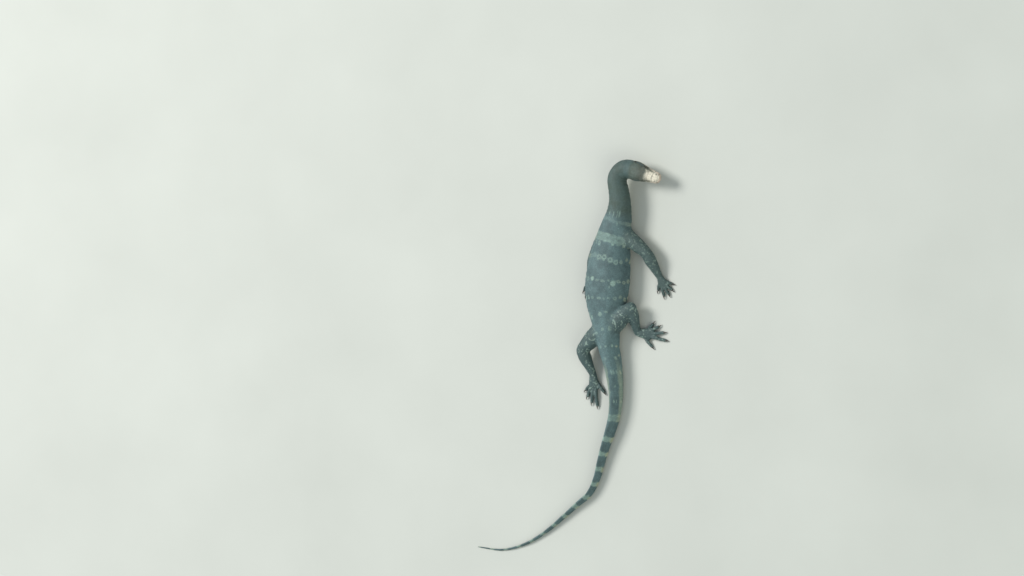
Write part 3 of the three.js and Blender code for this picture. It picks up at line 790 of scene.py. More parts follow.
def sculpt_head(local, normal):
    """Moves points in the head's own frame."""
    local = local.copy()
    chosen = on_head(local)
    x, y, z = local.T
    wide = np.abs(x)
    lift = np.zeros(len(local))
    for high, across, width, ahead, length, up, height in HEAD_FORMS.values():
        lift += high * bell(wide - across, width) * bell(y - ahead, length) * bell(z - up, height)
    lift += -0.6 * bell(x, 3.5) * smoothstep(15, 30, y) * smoothstep(70, 60, y)
    lift += -1.1 * bell(y - 70, 9) * bell(z - 3, 4.5) * smoothstep(6, 12, wide)
    from_nostril = np.hypot(y - NOSTRIL_AT[1], z - NOSTRIL_AT[2])
    lift += 0.8 * bell(from_nostril, 5.5) * (wide > NOSTRIL_SIDE)
    mouth = z - mouth_height(y)
    lips = smoothstep(MOUTH_CORNER[0] - 2, MOUTH_CORNER[0] + 5, y)
    lift += lips * (0.6 * bell(np.abs(mouth) - 1.6, 0.9) - 1.5 * bell(mouth, 0.48))
    nostril = nostril_place(local)
    lift += 0.4 * bell(nostril - 1.35, 0.3) - 2.4 * smoothstep(1.1, 0.75, nostril)
    ear = ear_place(local)
    lift += 0.5 * bell(ear - 1.25, 0.25) - 2.6 * smoothstep(1.08, 0.8, ear)
    lift += 0.12 * noise(local, 4, 6)
    mirror = np.where(x < 0, -1.0, 1.0)[:, None] * [1, 0, 0] + [0, 1, 1]
    bulge = np.zeros(len(local))
    lid_half = np.full(3, EYE_RADIUS + LID_THICKNESS)
    for centre, axes, half in ((EYE_AT, np.eye(3), lid_half), (BROW_AT, BROW_AXES, BROW_HALF)):
        reach = exit_distance(local * mirror, normal * mirror, centre, axes, half)
        bulge = smooth_top(bulge, reach, 1.4)
    bulge *= smoothstep(15, 22, y)
    local[chosen] += (normal * (lift + bulge)[:, None])[chosen]
    for side in (1, -1):
        local = open_eye(local, side)
    return local


def nostril_place(local):
    """How far out from a nostril's middle: 1 is its rim."""
    x, y, z = local.T
    out = np.hypot((y - NOSTRIL_AT[1]) / NOSTRIL_HALF[0], (z - NOSTRIL_AT[2]) / NOSTRIL_HALF[1])
    return out + FAR * (np.abs(x) <= NOSTRIL_SIDE)


def ear_place(local):
    """How far out from an ear's middle: 1 is its rim."""
    x, y, z = local.T
    back, up = y - EAR_AT[1], z - EAR_AT[2]
    out = np.hypot((back - EAR_SLANT * up) / EAR_HALF[0], up / EAR_HALF[1])
    return out + FAR * (np.abs(x) <= EAR_SIDE)


def eye_frame(side):
    flip = np.array([side, 1, 1])
    axis = unit(EYE_AXIS * flip)
    ahead = unit(np.array([0, 1, 0]) - axis[1] * axis)
    above = np.cross(axis, ahead) * side
    return EYE_AT * flip, axis, ahead, above


def eye_opening(b, c):
    """How far inside the opening of the lids a place is, ahead and above the eye's middle."""
    bow = 1 - np.clip(np.abs(b) / OPENING_HALF, 0, 2) ** 2
    return np.minimum(OPENING_UPPER * bow - c, c + OPENING_LOWER * bow)


def eye_coordinates(local, side):
    centre, axis, ahead, above = eye_frame(side)
    v = local - centre
    return v @ axis, v @ ahead, v @ above


def lid_place(local, side):
    """How far inside an eye's opening points are, and how far from the eye's axis in front of it."""
    h, b, c = eye_coordinates(local, side)
    return eye_opening(b, c), np.where(h > 0, np.hypot(b, c), np.inf)


def open_eye(local, side):
    """Folds round the lids, and between them the skin drops behind the eyeball."""
    axis = eye_frame(side)[1]
    h, b, c = eye_coordinates(local, side)
    radius = np.hypot(b, c)
    zone = (radius < 12) & (h > -1)
    inside = eye_opening(b, c)
    fold = 0.25 * bell(inside + 0.6, 0.4) - 0.3 * bell(inside + 1.9, 0.4)
    fold -= 0.4 * bell(radius - 8.6, 0.7)
    lifted = h + fold * smoothstep(0, 1, h)
    socket = np.sqrt(np.clip((EYE_RADIUS - 0.6) ** 2 - radius**2, 0, None))
    new = lerp(lifted, socket, smoothstep(-0.1, 0.25, inside))
    return np.where(zone[:, None], local + (new - h)[:, None] * axis, local)


def sculpt(mesh):
    points, normal = places(mesh), normals(mesh)
    local = to_head(points)
    headness = smoothstep(0, 14, local[:, 1]) * on_head(local)
    lift = sculpt_body(points) * (1 - headness) + sculpt_limbs(points)
    points += normal * (lift - COAT_DEPTH)[:, None]
    local = sculpt_head(to_head(points), normal @ head_frame.T)
    points = np.where(on_head(local)[:, None], from_head(local), points)
    points[:, 2] = np.maximum(points[:, 2], COAT_DEPTH + 0.05)
    put(mesh, points)
    smooth(mesh)


# Places round the body, as lengths from the middle of the back, with the animal's right positive
RING_STEP = 2.0
RING_TURN = 3.0
ring_distance = np.arange(0, SPINE_LENGTH, RING_STEP)
ring_angle = np.radians(np.arange(90, -271, -RING_TURN))
ring_places = body_points(*np.meshgrid(ring_distance, ring_angle, indexing="ij"))
ring_lengths = np.cumsum(np.linalg.norm(np.diff(ring_places, axis=1), axis=2), axis=1)
ring_arc = np.concatenate([np.zeros((len(ring_distance), 1)), ring_lengths], axis=1)
girth = ring_arc[:, -1]


def girth_at(distance):
    return np.interp(distance, ring_distance, girth)


def arc_at(distance, angle):
    turn = (90 - np.degrees(angle)) % 360
    row = np.clip(distance / RING_STEP, 0, len(ring_distance) - 1.001)
    column = np.clip(turn / RING_TURN, 0, len(ring_angle) - 1.001)
    i, k = row.astype(int), column.astype(int)
    f, g = row - i, column - k
    near = lerp(ring_arc[i, k], ring_arc[i, k + 1], g)
    far = lerp(ring_arc[i + 1, k], ring_arc[i + 1, k + 1], g)
    arc = lerp(near, far, f)
    whole = girth_at(distance)
    return np.where(arc > whole / 2, arc - whole, arc)


def angle_at(distance, arc):
    """The angle round the body at a length from the middle of the back."""
    row = np.clip(distance / RING_STEP, 0, len(ring_distance) - 1).astype(int)
    angle = np.empty(len(distance))
    for k in np.unique(row):
        chosen = row == k
        share = arc[chosen] * girth[k] / girth_at(distance[chosen])
        angle[chosen] = np.interp(share % girth[k], ring_arc[k], ring_angle)
    return angle


# Spots: distance from the head joint, place round the body, half sizes, paleness and 1 for a ring
NAPE_DASHES = [[150, -15], [150, 0], [148, 10], [146, 17]]
NAPE_DASH = [9, 1.6, 0.5, 0]
BACK_SPOTS = [
    [175, 19, 4, 2.5, 0.4, 0],
    [270, -29, 6, 8, 0.45, 1],
    [273, -12, 7, 7, 0.7, 1],
    [272, 4, 7.5, 8, 0.75, 1],
    [276, 23, 7, 7.5, 0.7, 1],
    [281, 39, 6, 6, 0.75, 1],
    [333, -24, 6, 6, 0.95, 0],
    [337, -43, 6, 6, 0.5, 1],
    [336, -7, 4, 7, 0.35, 0],
    [337, 10, 4.5, 7, 0.45, 0],
    [334, 27, 3.5, 4, 0.4, 0],
    [352, 30, 4, 3, 0.5, 0],
    [341, 41, 8.5, 8, 0.95, 0],
    [385, 0, 4.5, 7.5, 0.45, 0],
    [386, 15, 3.5, 4, 0.3, 0],
    [384, 30, 4, 4, 0.35, 0],
    [384, -20, 4.5, 6, 0.35, 0],
    [437, -30, 6, 6, 0.75, 0],
    [429, 2, 6.5, 6, 0.75, 0],
    [424, 20, 4, 6, 0.55, 0],
    [471, 4, 4.5, 5, 0.6, 0],
    [470, 24, 7, 5, 0.9, 0],
    [481, -19, 4.5, 5, 0.6, 0],
]
TAIL_SPOTS = [
    [519, 26, 5, 3, 1, 0],
    [522, 42, 4, 5, 1, 0],
    [519, 9, 3.5, 3, 0.6, 0],
    [519, -8, 3.5, 4, 0.6, 0],
    [556, 29, 4.5, 5, 0.8, 0],
    [552, -1, 4, 3, 0.6, 0],
    [592, 8, 7, 2, 0.8, 0],
    [592, 14, 7, 2, 0.8, 0],
    [592, 23, 6, 2.2, 0.7, 0],
    [592, -14, 6, 2.5, 0.7, 0],
    [630, 14, 3, 2.5, 0.6, 0],
    [630, -10, 4, 2.5, 0.7, 0],
    [670, 8, 5, 2.2, 0.7, 0],
    [670, 17, 5, 2.2, 0.7, 0],
    [670, -12, 5, 2.4, 0.7, 0],
]
FLANK_ROWS = [232, 276, 336, 385, 431, 474, 520, 556, 592, 630, 670]
FLANK_STEP = 16.0
NECK_ROWS = [64, 93, 121]
NECK_ROWS_FROM = 54.0
NECK_STEP = 13.0
RING_SHARE = 0.45
PALE_BANDS = [[168, 4, 0.35], [218, 11, 0.75], [716, 9, 0.8]]
TAIL_BANDS_FROM = 742.0
TAIL_BAND_STEP = 44.0


def marks():
    """Every spot: those that the photo shows, and their rows going on round the body."""
    spots = [[*place, *NAPE_DASH] for place in NAPE_DASHES] + BACK_SPOTS + TAIL_SPOTS
    draw = np.random.default_rng(11)
    for row in FLANK_ROWS + NECK_ROWS:
        limit = girth_at(row) * 0.36
        in_row = [spot[1] for spot in spots if abs(spot[0] - row) < 12] or [-6, 6]
        step = FLANK_STEP
        if row in NECK_ROWS:
            in_row, step = [-NECK_ROWS_FROM, NECK_ROWS_FROM], NECK_STEP
        for side, start in ((1, max(in_row)), (-1, min(in_row))):
            for arc in np.arange(abs(start) + step, limit, step) + draw.uniform(-2, 2):
                size = 5.2 if row < VENT else 4.2
                ring = float(draw.random() < RING_SHARE and 180 < row < VENT)
                far = draw.uniform(-5, 5)
                half = size * draw.uniform(0.8, 1.2, 2)
                spots.append([row + far, side * arc, *half, draw.uniform(0.45, 0.85), ring])
    return spots


def paleness(points, distance, arc):
    """How pale the markings make the body, from 0 to 1."""
    shift = 1.9 * noise(points, 5, 21), 1.9 * noise(points, 5, 22)
    far, round_body = distance + shift[0], arc + shift[1]
    pale = np.zeros(len(points))
    for place, where, half_length, half_width, strength, ring in marks():
        near = np.abs(far - place) < 2 * half_length + 2
        out = np.hypot((far[near] - place) / half_length, (round_body[near] - where) / half_width)
        if ring:
            shade = bell(out - 0.75, 0.36) + 0.1 * bell(out, 0.4)
        else:
            shade = smoothstep(1.25, 0.65, out)
        pale[near] = np.maximum(pale[near], strength * shade)
    for place, half, strength in PALE_BANDS:
        edge = smoothstep(half + 2, half - 2, np.abs(far - place + 2 * noise(points, 12, 23)))
        inner = 1 - 0.3 * bell(far - place, half * 0.55)
        pale = np.maximum(pale, strength * edge * inner * (0.8 + 0.35 * noise(points, 5, 24)))
    band = (far + 3 * noise(points, 9, 25) - TAIL_BANDS_FROM) % TAIL_BAND_STEP / TAIL_BAND_STEP
    banded = smoothstep(0.62, 0.72, band) * smoothstep(1, 0.94, band)
    pale = np.maximum(pale, 0.85 * banded * (far > TAIL_BANDS_FROM))
    return np.clip(pale, 0, 1)


def srgb(*values):
    share = np.array(values) / 255
    return np.where(share <= 0.04045, share / 12.92, ((share + 0.055) / 1.055) ** 2.4)


BACK = srgb(92, 117, 119)
BACK_DARK = srgb(70, 91, 93)
NECK = srgb(67, 84, 76)
TAIL_SIDE = srgb(146, 160, 142)
MARK = srgb(140, 165, 155)
MARK_WARM = srgb(174, 172, 138)
BELLY = srgb(190, 187, 158)
BELLY_BAR = srgb(84, 90, 84)
SPECKLE = srgb(140, 160, 150)
CROWN = srgb(89, 98, 88)
CHEEK = srgb(86, 92, 78)
FACE_DARK_AND_SHADE = srgb(74, 75, 64)
SNOUT = srgb(240, 231, 212)
SNOUT_BAR = srgb(112, 106, 92)
LIP = srgb(208, 186, 168)
THROAT = srgb(188, 184, 158)
# The dark of painted shade in the nostrils, the ears, the line of the mouth and the eyes' lids and
# sockets
HOLE_SHADE = srgb(34, 32, 32)
# Dark bars on the belly and lips, how far apart, and the line on the tail that its pale sides flank
BELLY_BAR_STEP = 27
LIP_BAR_STEP = 13
TAIL_LINE = 11


def mix(a, b, share):
    return a + (b - a) * share[:, None]


def body_colour(points):
    distance, angle, out = body_coordinates(points)
    arc = arc_at(distance, angle)
    around = np.abs(arc) / (girth_at(distance) / 2)
    cloud = 0.5 + 0.5 * noise(points, 22, 31) + 0.35 * noise(points, 8, 32)
    dark = smoothstep(0.1, 1.0, cloud) * 0.7 + 0.15 * smoothstep(0.15, 0.5, around)
    dark -= 0.6 * bell(distance - 525, 75)
    colour = mix(BACK, BACK_DARK, np.clip(dark, -0.25, 1.1))
    neck = smoothstep(168, 135, distance) * smoothstep(-25, 20, distance)
    colour = mix(colour, NECK, neck * (0.78 + 0.2 * noise(points, 11, 35)))
    aside = np.abs(arc - TAIL_LINE) + 3 * noise(points, 9, 36)
    beside = smoothstep(12, 19, aside) * lerp(0.25, 1, smoothstep(40, 24, aside))
    beside = beside * smoothstep(545, 610, distance) * smoothstep(735, 690, distance)
    colour = mix(colour, TAIL_SIDE, 0.7 * beside)
    pale = paleness(points, distance, arc)
    colour = mix(colour, MARK, pale)
    colour = mix(colour, MARK_WARM, pale * smoothstep(0.25, 0.6, around) * 0.8)
    edge = around + 0.05 * noise(points, 14, 33)
    bars = np.cos(2 * math.pi * (distance + 3 * noise(points, 12, 34)) / BELLY_BAR_STEP)
    reach = lerp(0.9, 0.62, smoothstep(-0.2, 0.9, bars))
    under = smoothstep(0.6, 0.72, edge) * (1 - 0.8 * smoothstep(reach + 0.06, reach - 0.06, edge))
    faint = smoothstep(0.75, 0.98, bars) * smoothstep(0.98, 0.8, edge)
    belly = mix(BELLY, BELLY_BAR, 0.75 * faint)
    tail = smoothstep(VENT + 20, VENT + 120, distance)
    return mix(colour, belly, under * (1 - 0.7 * tail)), out


def limb_colour(points, name, along):
    fore = LIMBS[name].kind == "fore"
    low = smoothstep(16, 4, points[:, 2])
    cloud = 0.5 + 0.5 * noise(points, 14, 41)
    # The forelimbs get more of the dark neck colour and fewer speckles: partly their own colour,
    # partly painted shade
    colour = mix(BACK, BACK_DARK, (0.4 if fore else 0.5) * cloud + 0.6)
    colour = lerp(colour, NECK, 0.5 if fore else 0.3)
    specks = noise(points, 3.6, 42) + 0.35 * noise(points, 9, 43)
    fine = smoothstep(0.34, 0.6, specks)
    colour = mix(colour, SPECKLE, fine * (0.85 - 0.35 * low) * (0.6 if fore else 1))
    level = np.interp(along, range(4), [joint[2] for joint in limb_joints(name)])
    under = smoothstep(-3, -11, points[:, 2] - level + 3 * noise(points, 7, 44))
    pale_under = mix(BELLY, BELLY_BAR, 0.25 + 0.5 * smoothstep(0.1, 0.4, specks))
    return mix(colour, pale_under, 0.85 * under * smoothstep(2.1, 1.8, along))


def head_colour(local):
    x, y, z = local.T
    wide, height = np.abs(x), z + snout_drop(y)
    cloud = 0.5 + 0.5 * noise(local, 7, 51)
    colour = mix(CROWN, BACK, 0.3 * cloud)
    colour = mix(colour, CHEEK, 0.75 * smoothstep(13, 6, height))
    nape = smoothstep(22, 4, y)
    colour = mix(colour, NECK, 0.8 * nape * smoothstep(2, 8, height))
    # A dark band across the face round the eyes: partly the head's own dark brown, partly painted
    # shade
    colour = mix(colour, FACE_DARK_AND_SHADE, 0.65 * bell(y - 48, 15))
    snout = smoothstep(52, 66, y + 3 * noise(local, 8, 52))
    colour = mix(colour, SNOUT, 0.92 * snout)
    bars = bell(y - 78 - 2 * noise(local, 6, 53), 1.9)
    bars += 0.7 * bell(y - 64, 2)
    bars += 0.6 * bell(y - 92, 1.6)
    colour = mix(colour, SNOUT_BAR, np.clip(0.55 * bars * snout * (0.5 + cloud), 0, 0.7))
    # A dark stripe along each side from the eye towards the nostril: a marking, and partly painted
    # shade on the sides of the snout
    lore_stripe_and_shade = bell(height - 5 - 1.5 * noise(local, 7, 58), 3.6) * smoothstep(8, 11, wide)
    colour = mix(colour, CHEEK, 0.85 * lore_stripe_and_shade * smoothstep(40, 52, y) * smoothstep(84, 68, y))
    streak = bell(height - 6 + 0.06 * (48 - y), 3.2) * smoothstep(44, 38, y) * smoothstep(8, 20, y)
    colour = mix(colour, BACK_DARK, 0.85 * streak * (wide > 12))
    mouth = z - mouth_height(y)
    lip_height = lerp(3.4, 5.5, smoothstep(60, 85, y)) + 1.2 * noise(local, 4, 57)
    near_mouth = smoothstep(1.4, -1.4, np.abs(mouth) - lip_height) * smoothstep(30, 44, y)
    lip_bars = np.cos(2 * math.pi * (y + 1.5 * noise(local, 5, 54)) / LIP_BAR_STEP)
    lip = mix(LIP, SNOUT_BAR, 0.6 * smoothstep(0.35, 0.8, lip_bars))
    colour = mix(colour, lip, 0.8 * near_mouth)
    below = smoothstep(-6, -11, height + 1.5 * noise(local, 7, 55))
    throat = mix(THROAT, CHEEK, 0.3 * smoothstep(0.2, 0.7, noise(local, 6, 56)))
    colour = mix(colour, throat, below * smoothstep(5, 20, y))
    # Painted shade in the hollows: nostrils, ears, the line of the mouth, the rims of the lids and the
    # socket round each eyeball
    hole_shade = smoothstep(1.0, 0.7, nostril_place(local))
    hole_shade = np.maximum(hole_shade, 0.85 * smoothstep(1.0, 0.8, ear_place(local)))
    hole_shade = np.maximum(hole_shade, 0.9 * bell(mouth, 0.45) * smoothstep(27, 33, y))
    for side in (1, -1):
        inside, radius = lid_place(local, side)
        lid_and_socket_shade = np.maximum(0.7 * bell(inside + 0.1, 0.4), smoothstep(0.1, 0.4, inside))
        hole_shade = np.maximum(hole_shade, lid_and_socket_shade * (radius < EYE_ZONE))
    return mix(colour, HOLE_SHADE, hole_shade)


def hues(points):
    """The colour of the skin and of the scales that grow on it."""
    colour, body_out = body_colour(points)
    for name in LIMBS:
        along, out = limb_coordinates(name, points)
        edge = body_out + 0.1 * noise(points, 9, 71)
        share = smoothstep(0.96, 1.34, edge) * smoothstep(1.7, 1.4, out)
        held = held_by_limb(name, points, body_out)[1]
        share = np.maximum(share, smoothstep(1.3, 1.5, body_out) * held)
        colour = mix(colour, limb_colour(points, name, along), share)
    local = to_head(points)
    share = smoothstep(-2, 14, local[:, 1]) * on_head(local)
    colour = mix(colour, head_colour(local), share)
    return np.clip(colour, 0.004, 1)


def paint(mesh, colour):
    attribute = mesh.color_attributes.new("tint", "FLOAT_COLOR", "POINT")
    write(attribute.data, "color", np.column_stack([colour, np.ones(len(colour))]))


# Scales: a closed low dome each, that fills its share of the room between its neighbours
BODY_SCALE = 2.4
SCALE_JITTER = 0.07
SHADE_JITTER = 0.13
# Painted shade at the rim and shoulder of each scale, and a painted highlight at its tip, as shares of
# its colour
RIM_PAINTED_SHADE = 0.5
SHOULDER_PAINTED_SHADE = 0.98
TIP_PAINTED_HIGHLIGHT = 1.08
SCALE_SIDES = 6
PLATE_SIDES = 8
GAP_SHARE = 0.93
ROUNDNESS = 1.4
WIDEST = 0.66
WIDEST_ANGLE = 0.2
PACKING_STEPS = 6
PACKING_SHARE = 0.3
PACKED = 0.53
SEED_GAP = 0.62
ROW_GAP = 0.78
CLOSEST = 0.84
THINNING_CELL = 2.8
NEIGHBOUR_CELLS = list(itertools.product((-1, 0, 1), repeat=3))
LIP_SCALE = 2.8
LIP_SHIFT = 1.9
RINGS_FROM = 84.0
LIMB_SCALES = (2.35, 1.7)
PLATES_FROM = 4
CHEEK_PLATE = 1.9
CROWN_PLATE = 2.7
SNOUT_PLATE = 2.3
SNOUT_FROM = 62
EAR_PLATE = 1.55
NOSTRIL_PLATE = 1.5
LID_PLATES = (0.95, 1.6)
SCALES_TRIED = 260000
FORM_SIZE = 2.2
# How high and how far back the tips of scales, of the head's plates and of the tail's crest stand
SCALE_FORM = (0.34, 0.25)
PLATE_FORM = (0.26, 0.05)
CREST_FORM = (0.55, 0.4)
CREST_FROM = VENT + 30
UNDERSIDE = 0.16
SCALE_SHOULDER = 0.8
PLATE_SHOULDER = 0.87
SHOULDER_HEIGHT = 0.72
SHOULDER_LEAN = 0.25
PATCH_RADIUS = 0.0015


def surface_of(mesh):
    """The skin's vertices, their smooth directions and the corners of its triangles."""
    mesh.calc_loop_triangles()
    return places(mesh), normals(mesh), read(mesh.loop_triangles, "vertices", 3, np.int32)


def onto(surface, tree, points):
    """Places on the skin near some points, their smooth outward directions and how far they moved."""
    vertices, normal, corners = surface
    place, gap, faces = nearest(tree, points)
    triangle = corners[faces]
    near = 1 / (0.05 + np.linalg.norm(vertices[triangle] - place[:, None], axis=2))
    return place, unit((normal[triangle] * near[..., None]).sum(1)), gap


def scale_size(distance):
    return BODY_SCALE * (1 - 0.12 * smoothstep(170, 60, distance) - 0.25 * tail_share(distance))


def body_lattice():
    """Rings of even scales round neck, trunk and tail, wider on the belly."""
    rows = []
    distance, odd = RINGS_FROM, 0
    while distance < SPINE_LENGTH - 2:
        size = scale_size(distance)
        half = girth_at(distance) / 2
        steps = np.linspace(-half, half, 200)
        belly = smoothstep(0.62, 0.85, np.abs(steps) / half)
        width = size * (0.95 + 0.4 * belly * (1 - 0.6 * tail_share(distance)))
        count = np.concatenate([[0], np.cumsum(np.diff(steps) * 2 / (width[1:] + width[:-1]))])
        number = max(6, round(count[-1]))
        shares = (np.arange(number) + 0.5 * odd) / number * count[-1]
        sideways, lengthways = SCALE_JITTER * size * rng.standard_normal((2, number))
        rows.append(np.stack([distance + lengthways, np.interp(shares, count, steps) + sideways], 1))
        distance += size * 1.02
        odd = 1 - odd
    return np.vstack(rows)


def lattice_points(lattice):
    return body_points(lattice[:, 0], angle_at(*lattice.T))


def under_plates(local):
    return on_head(local) & (local[:, 1] > PLATES_FROM)


def spacing(points):
    """How wide scales are at each place, or 0 where none grow."""
    distance, angle, out = body_coordinates(points)
    size = scale_size(distance)
    for name in LIMBS:
        along, on_limb = held_by_limb(name, points, out)
        size = np.where(on_limb, lerp(*LIMB_SCALES, smoothstep(0.9, 2.6, along)), size)
    local = to_head(points)
    return np.where(under_plates(local), head_spacing(local), size)


def head_spacing(local):
    x, y, z = local.T
    on_crown = smoothstep(8, 15, z + snout_drop(y)) * smoothstep(24, 36, y)
    size = np.where(y > SNOUT_FROM, SNOUT_PLATE, lerp(CHEEK_PLATE, CROWN_PLATE, on_crown))
    ear, nostril = ear_place(local), nostril_place(local)
    size = lerp(EAR_PLATE, size, smoothstep(0.5, 5, np.abs(ear - 1) * 4))
    size = lerp(NOSTRIL_PLATE, size, smoothstep(1.8, 3.2, nostril))
    bare = (np.abs(z - mouth_height(y)) < 1.2) & (y > MOUTH_CORNER[0])
    bare |= (nostril < 1.45) | (ear < 1.12)
    for side in (1, -1):
        inside, radius = lid_place(local, side)
        at_eye = radius < EYE_ZONE
        on_lids = lerp(*LID_PLATES, smoothstep(-1, -4, inside))
        size = np.where(at_eye, np.minimum(size, on_lids), size)
        bare |= at_eye & (inside > -0.6)
    return np.where(bare, 0, size)


def head_rows():
    """The rows of larger scales: round both lips and across the brows."""
    y = np.linspace(MOUTH_CORNER[0] + 2, HEAD_LENGTH, 300)
    half = head_section(y)[0]
    across = np.concatenate([half, -half[::-1]])
    ahead = np.concatenate([y, y[::-1]])
    steps = np.hypot(np.diff(across), np.diff(ahead))
    reach = np.concatenate([[0], np.cumsum(steps)])
    number = round(reach[-1] / LIP_SCALE)
    places_along = np.linspace(0, reach[-1], number)
    x, y = np.interp(places_along, reach, across), np.interp(places_along, reach, ahead)
    rows = [np.stack([x, y, mouth_height(y) + shift], 1) for shift in (LIP_SHIFT, -LIP_SHIFT)]
    y = np.arange(38, 60, 2.5)
    for side in (1, -1):
        rows.append(np.stack([np.full(len(y), side * 8.6), y, np.full(len(y), 17.0)], 1))
    return from_head(np.vstack(rows))


def gaps(tree, points):
    return np.array([tree.find(p)[2] for p in points.tolist()])


def scatter(surface, taken, number):
    """Fills what is left of the skin with scales that keep their distance."""
    vertices, normal, corners = surface
    a, b, c = (vertices[corners[:, k]] for k in range(3))
    area = np.linalg.norm(np.cross(b - a, c - a), axis=1) / 2
    middle = (a + b + c) / 3
    size = spacing(middle)
    dense = np.where(size > 0, area / np.maximum(size, 0.5) ** 2, 0)
    tree = tree_of(taken)
    dense[gaps(tree, middle) < SEED_GAP * size] = 0
    draw = rng.choice(len(corners), number, p=dense / dense.sum())
    first, second = rng.random((2, number))
    fold = first + second > 1
    first, second = np.where(fold, 1 - first, first), np.where(fold, 1 - second, second)
    place = a[draw] + (b - a)[draw] * first[:, None] + (c - a)[draw] * second[:, None]
    shares = (1 - first - second, first, second)
    outward = unit(sum(normal[corners[draw, k]] * share[:, None] for k, share in enumerate(shares)))
    size = size[draw]
    fits = gaps(tree, place) > ROW_GAP * size
    place, outward, size = place[fits], outward[fits], size[fits]
    keep = thinned(place, size)
    return place[keep], outward[keep], size[keep]


def spread_out(surface, tree, place, size, free):
    """Moves the free scales away from crowded neighbours, along the skin."""
    for _ in range(PACKING_STEPS):
        near = neighbours(tree_of(place), place[free], 8)
        away = place[free][:, None] - place[near]
        gap = np.linalg.norm(away, axis=2) + 1e-6
        wanted = (size[free][:, None] + size[near]) * PACKED
        push = np.clip(wanted - gap, 0, None) / gap
        moved = place[free] + PACKING_SHARE * (away * push[..., None]).sum(1)
        moved = onto(surface, tree, moved)[0]
        bare = spacing(moved) <= 0
        place = place.copy()
        place[free] = np.where(bare[:, None], place[free], moved)
    return place


def neighbours(tree, points, number):
    """The numbers of the nearest places in a tree to each of its points, without itself."""
    return np.array([[f[1] for f in tree.find_n(p, number + 1)][1:] for p in points.tolist()])


def crowded(p, limit, cell, grid):
    i, j, k = cell
    for di, dj, dk in NEIGHBOUR_CELLS:
        for q in grid.get((i + di, j + dj, k + dk), ()):
            if (q[0] - p[0]) ** 2 + (q[1] - p[1]) ** 2 + (q[2] - p[2]) ** 2 < limit:
                return True
    return False


def thinned(place, size):
    """The places, in order, that are far enough from all those kept before them."""
    cells = np.floor(place / THINNING_CELL).astype(int).tolist()
    limits = ((CLOSEST * size) ** 2).tolist()
    grid = {}
    keep = []
    for index, (p, limit, cell) in enumerate(zip(place.tolist(), limits, cells)):
        if not crowded(p, limit, cell, grid):
            grid.setdefault(tuple(cell), []).append(p)
            keep.append(index)
    return np.array(keep)


def backward(place, outward):
    """The directions along the skin: across, and towards the tail, or on a limb towards the toes."""
    distance, angle, out = body_coordinates(place)
    right = spine_at(distance)[1]
    along = np.stack([right[:, 1], -right[:, 0], np.zeros(len(place))], 1)
    for name in LIMBS:
        reach, on_limb = held_by_limb(name, place, out)
        part = np.clip(reach.astype(int), 0, 2)
        lines = unit(np.diff(limb_joints(name), axis=0))
        along = np.where(on_limb[:, None], lines[part], along)
    along = np.where(on_head(to_head(place))[:, None], -head_forward, along)
    across = unit(np.cross(along, outward) + 1e-6)
    return across, np.cross(outward, across)


def scale_turns(sides):
    return 2 * math.pi * (np.arange(sides) + 0.5) / sides


def outlines(place, across, back, size, sides):
    """How far each scale reaches in each direction: half the way to its neighbours."""
    near = neighbours(tree_of(place), place, 10)
    delta = place[near] - place[:, None]
    gap = np.linalg.norm(delta, axis=2)
    x = (delta * across[:, None]).sum(2) / gap
    y = (delta * back[:, None]).sum(2) / gap
    reach = np.empty((len(place), sides))
    for k, turn in enumerate(scale_turns(sides)):
        toward = x * math.cos(turn) + y * math.sin(turn)
        half_way = np.where(toward > WIDEST_ANGLE, gap / 2 / np.maximum(toward, WIDEST_ANGLE), FAR)
        reach[:, k] = half_way.min(1)
    reach = np.minimum(reach, ROUNDNESS * reach.min(1)[:, None])
    return np.minimum(reach, WIDEST * size[:, None]) * GAP_SHARE


